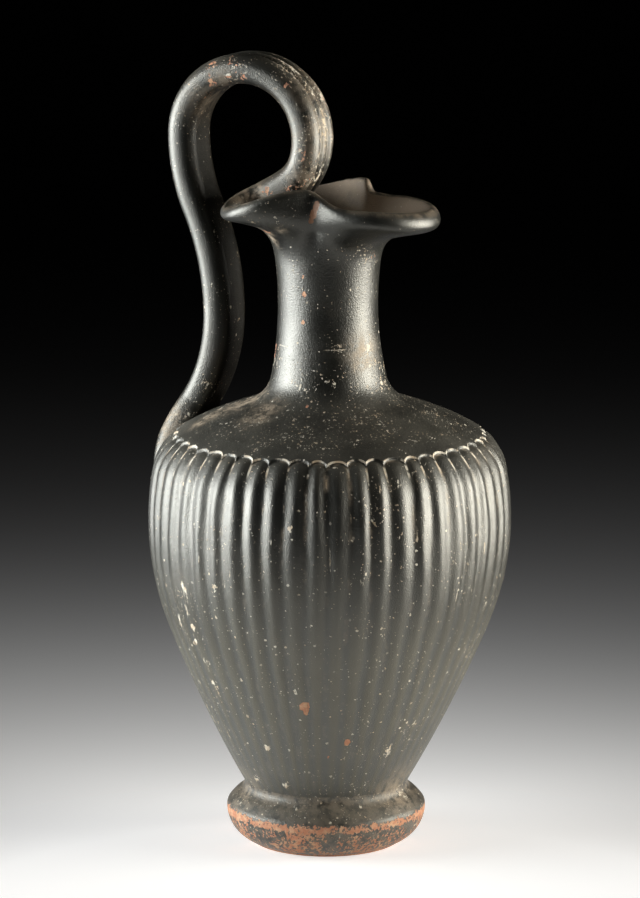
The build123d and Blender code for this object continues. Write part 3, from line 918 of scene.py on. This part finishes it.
camera_away = np.array([sin(radians(CAMERA_BEARING)), -cos(radians(CAMERA_BEARING)), 0])
camera_right = np.array([cos(radians(CAMERA_BEARING)), sin(radians(CAMERA_BEARING)), 0])
camera_place = camera_away * CAMERA_DISTANCE + (0, 0, CAMERA_HEIGHT)
camera_aim = -camera_right * AIM_LEFT + (0, 0, AIM_HEIGHT)


def make_camera():
    data = bpy.data.cameras.new("photo_camera")
    data.sensor_width = SENSOR
    data.lens = FOCAL_PIXELS / PICTURE_HEIGHT * SENSOR
    data.clip_start, data.clip_end = CLIP_RANGE
    camera = add_object("photo_camera", data)
    camera.location = camera_place * MM
    camera.rotation_euler = Vector(camera_aim - camera_place).to_track_quat("-Z", "Y").to_euler()
    bpy.context.scene.camera = camera


def sight_line(x, y):
    """Direction from the camera through a pixel of the picture."""
    ahead = camera_aim - camera_place
    ahead = ahead / np.linalg.norm(ahead)
    right = np.cross(ahead, (0, 0, 1))
    right = right / np.linalg.norm(right)
    up = np.cross(right, ahead)
    across, down = x - PICTURE_WIDTH / 2, y - PICTURE_HEIGHT / 2
    return ahead + right * across / FOCAL_PIXELS - up * down / FOCAL_PIXELS


# Wear: where the clay is bare, and where lime, rust and dust cling, by the pixel they are seen at

# name: pixel across, pixel down, radius in millimetres, amount
BARE_MARKS = {
    "belly_chip": (304, 707, 1.35, 1.6),
    "belly_chip_low": (305, 713, 0.9, 1.5),
    "small_chip": (347, 743, 0.75, 1.5),
    "low_chip": (328, 759, 0.5, 1.4),
    "neck_chip": (303, 322, 0.8, 0.9),
    "neck_chip_high": (304, 294, 0.8, 0.9),
    "neck_chip_top": (303, 277, 0.5, 0.9),
    "neck_edge_chip": (276, 346, 1.6, 0.5),
    "lobe_underside": (267, 232, 2.2, 0.6),
    "tongue_patch": (287, 186, 2.0, 0.7),
    "tongue_patch_middle": (278, 189, 2.0, 0.68),
    "tongue_patch_left": (268, 191, 2.0, 0.6),
    "strap_base": (303, 180, 4.5, 0.5),
    "loop_top": (232, 60, 4.0, 0.44),
    "loop_top_left": (213, 66, 3.0, 0.48),
    "loop_inside_top": (212, 81, 3.0, 0.5),
    "loop_inside_middle": (228, 77, 3.0, 0.46),
    "loop_inside_right": (244, 75, 3.0, 0.42),
    "loop_inner_edge": (206, 98, 4.0, 0.42),
    "loop_right_edge": (286, 85, 1.4, 0.55),
    "strap_low": (308, 155, 7.0, 0.38),
    "right_neck_fleck": (374, 255, 2.4, 0.42),
    "shoulder_chip": (307, 407, 0.8, 0.8),
    "root_red": (223, 378, 4.5, 0.4),
}
LIME_MARKS = {
    "shoulder_fleck": (355, 432, 1.8, 0.7),
    "shoulder_specks": (215, 432, 8.0, 0.3),
    "left_belly": (180, 620, 12.0, 0.3),
    "left_belly_low": (212, 712, 10.0, 0.36),
    "left_edge": (185, 675, 8.0, 0.45),
    "right_belly": (470, 560, 14.0, 0.2),
    "low_fleck": (267, 749, 1.3, 1.2),
    "low_fleck_right": (388, 752, 1.6, 0.9),
    "rib_flecks": (378, 515, 4.0, 0.42),
    "neck_scratch": (340, 350, 1.6, 0.9),
    "neck_scratch_right": (368, 349, 2.0, 0.9),
    "neck_scratch_low": (364, 362, 2.0, 0.7),
    "neck_right_top": (362, 250, 5.0, 0.36),
    "neck_left_scratch": (279, 348, 1.4, 1.0),
    "root_crust": (175, 424, 4.0, 0.6),
    # Pale crust along the shoulder's back edge, brightened as a painted rim highlight along the contour
    "back_edge_crust_and_highlight_first": (250, 398, 1.6, 0.9),
    "back_edge_crust_and_highlight_middle": (236, 403, 2.0, 0.9),
    "back_edge_crust_and_highlight_last": (222, 408, 2.0, 0.9),
    "back_edge_crust_and_highlight_end": (207, 416, 1.6, 0.9),
    "root_crust_right": (190, 416, 3.0, 0.5),
    "strap_scratch": (206, 383, 1.5, 0.8),
    "foot_lime": (402, 795, 2.8, 0.95),
    "foot_lime_left": (388, 806, 1.8, 0.8),
    "foot_lime_front": (330, 815, 6.0, 0.3),
    "loop_right_face": (318, 90, 9.0, 0.6),
    "loop_right_middle": (325, 125, 8.0, 0.55),
    "loop_right_low": (316, 165, 7.0, 0.5),
    "loop_top_specks": (240, 70, 5.0, 0.5),
    "loop_top_right": (290, 70, 6.0, 0.55),
    "strap_left_specks": (185, 150, 5.0, 0.22),
    "belly_crust": (182, 587, 1.0, 1.4),
    "belly_crust_low": (185, 595, 0.9, 1.3),
    "belly_crust_middle": (188, 608, 0.7, 1.1),
    "belly_crust_foot": (192, 626, 1.1, 1.4),
    "belly_crust_chain": (196, 642, 0.8, 1.1),
    "belly_crust_chain_low": (205, 662, 0.8, 1.1),
    "belly_crust_end": (213, 683, 1.1, 1.4),
    "belly_crust_last": (218, 692, 0.9, 1.3),
    "belly_fleck": (215, 586, 1.0, 1.2),
    "belly_fleck_high": (290, 528, 0.7, 1.2),
    "belly_fleck_top": (303, 540, 0.8, 1.2),
    "rib_foot_streak": (286, 785, 1.0, 1.2),
    "rib_foot_streak_low": (288, 792, 0.8, 1.0),
    "rib_foot_streak_left": (258, 780, 1.0, 1.0),
    "rib_foot_right": (405, 785, 1.8, 0.8),
}
RUST_MARKS = {
    "pinch_streak_top": (317, 204, 0.9, 1.0),
    "pinch_streak_high": (316, 208, 1.0, 1.0),
    "pinch_streak": (314, 212, 1.0, 1.0),
    "pinch_streak_low": (313, 216, 1.0, 1.0),
    "pinch_streak_end": (311, 221, 0.9, 1.0),
}
DUST_MARKS = {
    "shoulder_smudge": (265, 411, 3.6, 1.0),
    "shoulder_smudge_low": (256, 419, 3.4, 0.9),
    # Tan crust along the shoulder's back edge, brightened as a painted rim highlight along the contour
    "back_edge_crust_and_highlight_first": (259, 397, 2.4, 0.9),
    "back_edge_crust_and_highlight_second": (250, 401, 3.8, 1.1),
    "back_edge_crust_and_highlight_third": (240, 405, 4.2, 1.1),
    "back_edge_crust_and_highlight_fourth": (230, 408, 4.2, 1.1),
    "back_edge_crust_and_highlight_fifth": (220, 412, 3.8, 1.1),
    "back_edge_crust_and_highlight_sixth": (210, 417, 3.2, 1.1),
    "back_edge_crust_and_highlight_last": (200, 423, 2.4, 1.1),
    "root_dust": (172, 416, 3.0, 0.9),
    "root_dust_low": (164, 432, 3.0, 0.8),
    "lobe_crust": (264, 230, 1.3, 1.0),
    "lobe_crust_middle": (270, 233, 1.3, 1.0),
    "lobe_crust_right": (281, 230, 1.1, 0.9),
    "lobe_crust_low": (272, 238, 1.8, 1.1),
    "tongue_crust": (238, 196, 2.2, 1.1),
    "tongue_crust_middle": (247, 193, 2.2, 1.1),
    "tongue_crust_right": (256, 191, 2.0, 1.0),
    "foot_top_left": (245, 797, 6.0, 0.6),
    "foot_top_right": (395, 797, 7.0, 0.7),
    "loop_right_dust": (318, 95, 8.0, 0.5),
    "loop_right_dust_middle": (324, 130, 8.0, 0.5),
    "loop_inside_dust": (206, 100, 5.0, 0.4),
    "loop_inside_dust_top": (222, 84, 4.0, 0.45),
    "tongue_dust": (250, 194, 4.0, 0.6),
    "strap_base_dust": (300, 178, 5.0, 0.5),
    "neck_stain": (364, 352, 4.0, 0.9),
    "neck_stain_low": (362, 362, 3.0, 0.8),
    "bowl_dust": (352, 200, 8.0, 0.8),
}
SEEN_MARKS = {"bare": BARE_MARKS, "lime": LIME_MARKS, "rust": RUST_MARKS, "dust": DUST_MARKS}

# Marks on the side away from the camera, placed by chance; distance and heights are in metres
BACK_MARK_COUNT = 48
BACK_MARK_FIELDS = ("bare", "lime", "lime", "dust")
BACK_MARK_TURN = 1.9
BACK_MARK_DISTANCE = 0.5
BACK_MARK_HEIGHTS = (0.01, 0.27)
BACK_MARK_RADII = (1, 9)
BACK_MARK_LEAST = 0.25
BACK_MARK_STRENGTH = 0.9
BACK_DUST_SHARE = 0.5

# Wear all round a piece: even amounts, and bands of the foot by height, spread and amount
EVEN_WEAR = {
    ("strap_handle", "lime"): 0.12,
    ("strap_handle", "bare"): 0.12,
    ("ribbed_belly", "lime"): 0.08,
    ("shoulder_wall", "lime"): 0.3,
}
FOOT_EDGE_BARE = (11.8, 2.8, 0.66)
REST_EDGE_BARE = (0.0, 1.1, 0.9)
FOOT_COVE_LIME = (17.0, 4.0, 0.16)
FOOT_COVE_DUST = (20.0, 3.0, 0.15)
FOOT_SIDE_TOP = 13.5
FOOT_SIDE_FADE = 2.0
FOOT_SIDE_BARE = 0.47
UNDERSIDE_BARE = 0.8
FOOT_EDGE_INNER = 30.0
REST_EDGE_INNER = 24.0
FOOT_DUST_BASE = 12.0
FOOT_DUST_UPPER = 0.18
FOOT_DUST_LOWER = 0.25


def all_faces():
    """Tree of every piece's faces, to find where a sight line meets the jug."""
    points, faces = [], []
    for piece in pieces.values():
        base = len(points)
        points += [v.co.copy() for v in piece.data.vertices]
        faces += [[base + k for k in face.vertices] for face in piece.data.polygons]
    return BVHTree.FromPolygons(points, faces)


def find_spots():
    """Middle, radius in metres and amount of each mark: those seen by the camera, and others on the back."""
    tree = all_faces()
    random = np.random.default_rng(SEED)
    spots = {field: [] for field in SEEN_MARKS}
    for field, marks in SEEN_MARKS.items():
        for x, y, radius, amount in marks.values():
            hit = tree.ray_cast(Vector(camera_place * MM), Vector(sight_line(x, y)))[0]
            if hit is not None:
                spots[field].append((np.array(hit), radius * MM, amount))
    for k in range(BACK_MARK_COUNT):
        turn = radians(CAMERA_BEARING) + random.uniform(-BACK_MARK_TURN, BACK_MARK_TURN)
        side = Vector((-sin(turn), cos(turn), 0))
        start = side * BACK_MARK_DISTANCE + Vector((0, 0, random.uniform(*BACK_MARK_HEIGHTS)))
        hit = tree.ray_cast(start, -side)[0]
        field = BACK_MARK_FIELDS[k % len(BACK_MARK_FIELDS)]
        radius = random.uniform(*BACK_MARK_RADII)
        if hit is not None and Vector(camera_away).dot(hit) < 0:
            amount = min(1.0, BACK_MARK_LEAST + BACK_MARK_STRENGTH / radius)
            amount *= BACK_DUST_SHARE if field == "dust" else 1.0
            spots[field].append((np.array(hit), radius * MM, amount))
    return spots


def place_marks():
    """Write how bare, limy, rusty and dusty each point of each piece is."""
    spots = find_spots()
    for piece in pieces.values():
        mesh = piece.data
        place = np.empty(len(mesh.vertices) * 3)
        mesh.vertices.foreach_get("co", place)
        place = place.reshape(-1, 3)
        for field, found in spots.items():
            values = np.zeros(len(place))
            for middle, radius, amount in found:
                gap = np.linalg.norm(place - middle, axis=1)
                values = np.maximum(values, amount * np.exp(-((gap / radius) ** 2) / 2))
            write_field(mesh, field, np.maximum(values, own_wear(piece.name, field, place / MM)))


def band(height, middle, spread, amount):
    """Amount that fades away above and below a height."""
    return amount * np.exp(-(((height - middle) / spread) ** 2))


def own_wear(name, field, place):
    """Wear that a piece has all round: on the foot at its edges and moulding, on others evenly."""
    height = place[:, 2]
    radius = np.hypot(place[:, 0], place[:, 1])
    if name == "ring_foot" and field == "bare":
        side = FOOT_SIDE_BARE * np.clip((FOOT_SIDE_TOP - height) / FOOT_SIDE_FADE, 0, 1)
        upper_edge = band(height, *FOOT_EDGE_BARE) * (radius > FOOT_EDGE_INNER)
        resting_edge = band(height, *REST_EDGE_BARE) * (radius > REST_EDGE_INNER)
        under = UNDERSIDE_BARE * ((height < UNDERSIDE_RECESS) & (radius < REST_EDGE_INNER))
        return np.max([side, upper_edge, resting_edge, under], axis=0)
    if name == "ring_foot" and field == "lime":
        return band(height, *FOOT_COVE_LIME)
    if name == "ring_foot" and field == "dust":
        upper = FOOT_DUST_UPPER + band(height, *FOOT_COVE_DUST)
        return np.where(height > FOOT_DUST_BASE, upper, FOOT_DUST_LOWER)
    return np.full(len(place), EVEN_WEAR.get((name, field), 0.0))


# Finishes

CLAY = (0.50, 0.205, 0.110, 1)
CLAY_PALE = (0.60, 0.36, 0.215, 1)
LIME = (0.76, 0.70, 0.58, 1)
LIME_TAN = (0.58, 0.44, 0.29, 1)
SLIP_BLACK = (0.0042, 0.0046, 0.0042, 1)
SLIP_OLIVE = (0.0125, 0.0125, 0.0095, 1)
SLIP_BROWN = (0.040, 0.026, 0.015, 1)
# Brown of the mouth's inside, set paler than its own colour as painted light
BOWL_BROWN_AND_PAINTED_LIGHT = (0.400, 0.300, 0.215, 1)
# Painted shade: darker slip for the strap's inner face, which faces the neck
STRAP_INNER_PAINTED_SHADE = (0.009, 0.0072, 0.005, 1)
DUST = (0.195, 0.182, 0.150, 1)
TAN = (0.470, 0.370, 0.265, 1)
# Pale olive film on the lower belly, greyer at the grooves: partly a dull film, partly a painted reflection
# of the pale floor
FILM_AND_FLOOR_REFLECTION = (0.112, 0.101, 0.070, 1)
FILM_GREY_AND_FLOOR_REFLECTION = (0.078, 0.081, 0.075, 1)
RUST = (0.19, 0.070, 0.022, 1)
SLIP_IOR = 1.72
RUBBED_IOR = 1.8
FOOT_DULL = 0.09
RIBBED_DULL = 0.04
LIME_COVER = 0.9
ROUGHEST = 0.92
GRAIN_STRENGTH = 0.5
GRAIN_DEPTH = 0.35
# Sizes of clouds in the slip, in millimetres
CLOUD_SIZE = 26
THIN_SIZE = 55
SMEAR_SIZE = 14
# Size of the cells that may each hold a fleck, and the share of them that do
FLECKS = [(0.8, 0.075), (1.7, 0.05)]
# Heights that the finishes read, in metres
FILM_AND_REFLECTION_HEIGHTS = (0.060, 0.118)
SCORE_HEIGHT = 0.1797
SCORE_EDGE = (0.0001, 0.00028)
SLIP_TINT = (1.0, 0.985, 0.90, 1)


class SlipNodes(Nodes):
    """Nodes of a slip finish, with the patterns that its layers share."""

    def __init__(self, tree):
        super().__init__(tree)
        self.place = self.add("ShaderNodeTexCoord").outputs["Object"]
        self.cloud = self.noise(self.place, CLOUD_SIZE, 4, 0.6)

    def field(self, label):
        """Value that the mesh keeps at each point."""
        return self.add("ShaderNodeAttribute", attribute_name=label).outputs["Fac"]

    def height(self):
        return self.add("ShaderNodeSeparateXYZ", {0: self.place}).outputs[2]

    def swing(self, place, size, detail, roughness):
        """Clouds that go as far below zero as above it."""
        return self.math("SUBTRACT", self.noise(place, size, detail, roughness), 0.5)

    def between(self, value, rise, fall):
        """Soft step up and then down again, each from one value to another."""
        return self.product(self.ramp(value, *rise), self.ramp(value, *fall, 1.0, 0.0))

    def patches(self, amount, place, size, spread, level):
        """Torn patches of one size that cover more where the amount is higher."""
        torn = self.product(self.swing(place, size, 5, 0.62), spread)
        return self.ramp(self.total(amount, torn), level, level + 0.05)

    def flecks(self, chance, size):
        """Separate specks, each in a cell of one size; the chance is the share of cells that have one."""
        cell = self.add("ShaderNodeTexVoronoi", {"Vector": self.place, "Scale": 1 / (size * MM)}).outputs
        lot = self.add("ShaderNodeSeparateColor", {0: cell["Color"]}).outputs
        chosen = self.math("GREATER_THAN", chance, lot[0])
        radius = self.product(chosen, self.ramp(lot[1], 0.0, 1.0, 0.1, 0.32))
        torn = self.product(self.swing(self.place, size * 0.5, 3, 0.7), 0.9)
        speck = self.ramp(self.total(radius, torn, self.product(cell["Distance"], -1.0)), 0.0, 0.06)
        return self.product(speck, self.ramp(lot[2], 0.0, 1.0, 0.3, 1.0))


def new_finish(name):
    """Material that is made of nodes, and its shader."""
    finish = bpy.data.materials.new(name)
    finish.use_nodes = True
    return finish, finish.node_tree.nodes["Principled BSDF"]


def slip_layer(n, shader, part, extra_dull):
    """Colour of the slip, thinner and browner in clouds, and how dull it is; the mouth's inside is paler as
    painted light, the strap's inner face darker as painted shade, and the lower belly has a dull film that is
    also a painted reflection of the pale floor.
    """
    thin = n.noise(n.place, THIN_SIZE, 5, 0.62)
    slip = n.blend(n.ramp(n.cloud, 0.35, 0.7), SLIP_BLACK, SLIP_OLIVE)
    slip = n.blend(n.ramp(thin, 0.58, 0.78, 0.0, 0.6), slip, SLIP_BROWN)
    dull = n.total(n.product(n.ramp(thin, 0.5, 0.75), 0.05), extra_dull)
    if part == "mouth":
        # The mouth's inside is brown, made paler than its own colour: painted light where little lamp light
        # reaches
        inside = n.product(n.field("inside"), n.ramp(n.cloud, 0.2, 0.7, 0.6, 1.0))
        slip = n.blend(inside, slip, BOWL_BROWN_AND_PAINTED_LIGHT)
        dull = n.total(dull, n.product(inside, 0.3))
    # The strap's inner face, turned to the neck, is painted darker and made to reflect less: painted shade
    if part == "strap":
        inner = n.ramp(n.field("strap_face"), -0.48, -0.3, 1.0, 0.0)
        slip = n.blend(n.product(inner, n.ramp(n.cloud, 0.3, 0.6, 0.3, 1.0)), slip, STRAP_INNER_PAINTED_SHADE)
        dull = n.total(dull, n.product(inner, 0.04))
        n.put(shader.inputs["Specular IOR Level"], n.ramp(inner, 0.0, 1.0, 0.5, 0.1))
    if part == "ribs":
        # Paler olive layer low on the belly, strongest towards the foot: partly a dull film, partly a painted
        # reflection of the pale floor
        film_and_reflection = n.product(n.ramp(n.height(), *FILM_AND_REFLECTION_HEIGHTS, 0.62, 0.0), n.ramp(n.cloud, 0.25, 0.75, 0.75, 1.0))
        film_and_reflection_colour = n.blend(n.ramp(n.field("arch_edge"), -2.2, -0.4), FILM_AND_FLOOR_REFLECTION, FILM_GREY_AND_FLOOR_REFLECTION)
        slip = n.blend(film_and_reflection, slip, film_and_reflection_colour)
        dull = n.total(dull, n.product(film_and_reflection, 0.2))
    return slip, dull


def dust_layer(n, part):
    """Share of dust that lies on what faces up, and share that is kept where it was never rubbed off."""
    normal = n.add("ShaderNodeNewGeometry").outputs["Normal"]
    upward = n.add("ShaderNodeSeparateXYZ", {0: normal}).outputs[2]
    lying = n.product(n.ramp(upward, 0.2, 0.95), n.ramp(n.cloud, 0.3, 0.7, 0.12, 0.3))
    kept = n.field("dust")
    if part == "mouth":
        kept = n.total(kept, n.product(n.field("crest"), 0.5))
    if part == "ribs":
        under_arch = n.between(n.field("arch_edge"), (-1.3, -0.3), (0.0, 0.4))
        dirty = n.product(under_arch, n.ramp(n.noise(n.place, 9.0, 3, 0.6), 0.48, 0.64))
        kept = n.total(kept, n.product(dirty, n.ramp(n.field("below_arch"), 3.0, 45.0, 0.4, 0.12)))
    kept = n.product(n.math("MINIMUM", kept, 1.0), n.ramp(n.noise(n.place, 3.5, 5, 0.7), 0.36, 0.6), 0.8)
    return lying, kept


def rib_lime(n, lime, amount):
    """Lime drawn out down the wall, and rubbed lines on the ribs' arches, legs and grooves."""
    drawn_out = n.add("ShaderNodeMapping", {"Vector": n.place, "Scale": (1.0, 1.0, 0.2)}).outputs[0]
    streaks = n.patches(n.total(amount, n.product(lime, 0.1)), drawn_out, 1.8, 1.0, 0.21)
    edge, below = n.field("arch_edge"), n.field("below_arch")
    rubbed = n.noise(n.place, 5.0, 3, 0.6)
    rim = n.between(edge, (0.3, 0.45), (0.85, 1.05))
    rim = n.product(rim, n.ramp(below, 2.5, 5.5, 0.9, 0.0), n.ramp(rubbed, 0.42, 0.54))
    leg = n.product(n.between(edge, (-0.45, -0.25), (0.5, 0.65)), n.ramp(below, 2.0, 3.5))
    leg = n.product(leg, n.ramp(below, 5.0, 9.0, 1.0, 0.0), n.ramp(rubbed, 0.38, 0.48))
    groove = n.product(n.ramp(edge, -0.4, -0.1), n.ramp(below, 4.0, 6.0))
    groove = n.product(groove, n.ramp(below, 6.0, 30.0, 0.8, 0.0), n.ramp(rubbed, 0.54, 0.64))
    return n.most(streaks, groove, rim, leg)


def scored_line(n):
    """Pale line scored round the neck, rubbed away in places."""
    gap = n.math("ABSOLUTE", n.math("SUBTRACT", n.height(), SCORE_HEIGHT))
    return n.product(n.ramp(gap, *SCORE_EDGE, 0.5, 0.0), n.ramp(n.noise(n.place, 6.0, 5, 0.7), 0.5, 0.6))


def lime_layer(n, part):
    """Share of lime: fine specks everywhere, and more where it clings."""
    lime = n.field("lime")
    if part == "strap":
        lime = n.total(lime, n.product(n.field("strap_ridge"), lime, 0.8))
    cluster = n.swing(n.place, 13.0, 3, 0.6)
    amount = n.total(n.product(lime, 0.2), n.product(cluster, 0.3))
    pale = n.most(n.patches(amount, n.place, 1.0, 1.0, 0.19), n.patches(amount, n.place, 2.8, 1.0, 0.215))
    for size, share in FLECKS:
        chance = n.total(share, n.product(lime, 0.3), n.product(cluster, 0.35))
        pale = n.most(pale, n.flecks(chance, size))
    if part == "ribs":
        pale = n.most(pale, rib_lime(n, lime, amount))
    if part == "neck":
        pale = n.most(pale, scored_line(n))
    return pale


def black_slip(name, part=None, ior=SLIP_IOR, extra_dull=0.0):
    """Satin black slip with specks of lime, dusty on top and worn to orange clay at chips and edges."""
    finish, shader = new_finish(name)
    n = SlipNodes(finish.node_tree)
    slip, dull = slip_layer(n, shader, part, extra_dull)
    rust = n.patches(n.field("rust"), n.place, 1.4, 0.8, 0.5)
    lying, kept = dust_layer(n, part)
    pale = lime_layer(n, part)
    worn = n.total(n.field("bare"), n.product(n.swing(n.place, 9.0, 3, 0.6), 0.7))
    bare = n.patches(worn, n.place, 1.1, 1.2, 0.5)

    # Colour, one layer over another
    dusty = n.blend(kept, n.blend(lying, n.blend(rust, slip, RUST), DUST), TAN)
    lime_colour = n.blend(n.ramp(n.noise(n.place, 4.0, 3, 0.6), 0.4, 0.65), LIME, LIME_TAN)
    colour = n.blend(n.product(pale, LIME_COVER), dusty, lime_colour)
    clay = n.blend(n.ramp(n.noise(n.place, 2.5, 5, 0.65), 0.42, 0.66), CLAY, CLAY_PALE)
    n.put(shader.inputs["Base Color"], n.blend(bare, colour, clay))

    # Gloss of the slip, dull where dust, lime, clay or rust shows
    smear = n.noise(n.place, SMEAR_SIZE, 5, 0.65)
    gloss = n.total(n.ramp(smear, 0.25, 0.8, 0.29, 0.41), dull, n.product(n.most(lying, kept), 0.4))
    gloss = n.total(gloss, n.product(pale, 0.35), n.product(bare, 0.4), n.product(rust, 0.2))
    n.put(shader.inputs["Roughness"], n.math("MINIMUM", gloss, ROUGHEST))
    shader.inputs["IOR"].default_value = ior
    shader.inputs["Specular Tint"].default_value = SLIP_TINT

    # Grain of the slip, hollow chips and raised specks
    height = n.total(
        n.product(n.noise(n.place, 0.5, 2, 0.5), 0.8),
        n.product(n.noise(n.place, 5.0, 3, 0.55), 0.4),
        n.product(pale, 0.2),
        n.product(bare, -0.7),
    )
    grain = {"Height": height, "Strength": GRAIN_STRENGTH, "Distance": GRAIN_DEPTH * MM}
    n.put(shader.inputs["Normal"], n.add("ShaderNodeBump", grain).outputs[0])
    return finish


# Floor and light, in metres

FLOOR_SIZE = 8.0
FLOOR_COLOUR = (0.80, 0.79, 0.785, 1)
# The floor is pale round the jug and fades to dark away from it: a painted pool of light
LIGHT_POOL_MIDDLE = 0.12
LIGHT_POOL_RADIUS = 0.14
LIGHT_POOL_FALLOFF = 0.165
FLOOR_GLOW = 0.68
FLOOR_OUTSIDE_LIGHT_POOL = (0.004, 0.004, 0.004, 1)
FLOOR_ROUGHNESS = 0.6
WORLD_DARK = (0.0015, 0.0015, 0.0015, 1)
PANEL_DISTANCE = 0.55
# name: side, length, shift away from the camera, colour
PANELS = {
    "left_panel": (-1, 0.72, 0.05, (0.97, 1.0, 1.0)),
    "right_panel": (1, 0.50, -0.08, (1.0, 0.97, 0.89)),
}
PANEL_HEIGHT = 0.40
PANEL_LIFT = 0.005
PANEL_RADIANCE = 3.1
PANEL_SPREAD = 75.0


def make_floor():
    mesh = bpy.data.meshes.new("floor")
    half = FLOOR_SIZE / 2
    corners = [(-half, -half, 0), (half, -half, 0), (half, half, 0), (-half, half, 0)]
    mesh.from_pydata(corners, [], [(0, 1, 2, 3)])
    floor = add_object("floor", mesh)
    paper, shader = new_finish("pale_paper_light_pool")
    n = Nodes(paper.node_tree)
    place = n.add("ShaderNodeTexCoord").outputs["Object"]
    # Painted pool of light: the paper's colour and its glow fade from pale near the jug to dark further off
    middle = camera_away * LIGHT_POOL_MIDDLE
    far = n.add("ShaderNodeVectorMath", {0: place, 1: middle.tolist()}, operation="DISTANCE").outputs["Value"]
    fade = n.math("EXPONENT", n.math("DIVIDE", n.math("SUBTRACT", LIGHT_POOL_RADIUS, far), LIGHT_POOL_FALLOFF))
    fade = n.math("MINIMUM", fade, 1.0)
    n.put(shader.inputs["Base Color"], n.blend(fade, FLOOR_OUTSIDE_LIGHT_POOL, FLOOR_COLOUR))
    n.put(shader.inputs["Emission Color"], FLOOR_COLOUR)
    sight = n.add("ShaderNodeLightPath").outputs
    seen = n.most(sight["Is Camera Ray"], sight["Is Glossy Ray"], sight["Is Transmission Ray"])
    n.put(shader.inputs["Emission Strength"], n.product(seen, fade, FLOOR_GLOW))
    shader.inputs["Roughness"].default_value = FLOOR_ROUGHNESS
    mesh.materials.append(paper)


def make_panel(name, side, length, shift, colour):
    """Low soft panel beside the jug, facing it."""
    light = bpy.data.lights.new(name, "AREA")
    light.shape = "RECTANGLE"
    light.size, light.size_y = length, PANEL_HEIGHT
    light.energy = PANEL_RADIANCE * pi * length * PANEL_HEIGHT
    light.color = colour
    light.spread = radians(PANEL_SPREAD)
    panel = add_object(name, light)
    middle_height = PANEL_HEIGHT / 2 + PANEL_LIFT
    place = camera_right * side * PANEL_DISTANCE - camera_away * shift + (0, 0, middle_height)
    panel.location = Vector(place)
    panel.rotation_euler = Vector(-camera_right * side).to_track_quat("-Z", "Y").to_euler()
    panel.visible_camera = False


def make_world():
    world = bpy.data.worlds.new("studio")
    world.use_nodes = True
    world.node_tree.nodes["Background"].inputs["Color"].default_value = WORLD_DARK
    bpy.context.scene.world = world


# Assembly

STANDS_FOR = {
    "ring_foot": ("foot", "foot_luting"),
    "ribbed_belly": ("belly", "shoulder_luting"),
    "shoulder_wall": ("shoulder", "neck_luting"),
    "neck_wall": ("neck", "mouth_luting"),
    "trefoil_mouth": ("mouth",),
    "strap_handle": ("handle", "handle_top_luting", "handle_root_luting"),
}

make_camera()
make_foot()
make_belly()
make_wall("shoulder_wall", BELLY_PIECE_TOP, shoulder_top)
make_wall("neck_wall", shoulder_top, neck_top)
make_mouth()
make_handle()
place_marks()

finishes = {
    "shoulder_wall": black_slip("black_slip"),
    "ring_foot": black_slip("black_slip_foot", extra_dull=FOOT_DULL),
    "trefoil_mouth": black_slip("black_slip_mouth", "mouth"),
    "strap_handle": black_slip("black_slip_strap", "strap"),
    "neck_wall": black_slip("black_slip_neck", "neck"),
}
for name, finish in finishes.items():
    pieces[name].data.materials.append(finish)
ribbed_slip = black_slip("black_slip_ribbed", "ribs", RUBBED_IOR, RIBBED_DULL)
press_ribs(pieces["ribbed_belly"], ribbed_slip)

for name, nodes in STANDS_FOR.items():
    piece = pieces[name]
    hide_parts(*nodes)
    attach(piece, "root")

make_floor()
for name, settings in PANELS.items():
    make_panel(name, *settings)
make_world()
bpy.context.scene.view_settings.view_transform = "Standard"
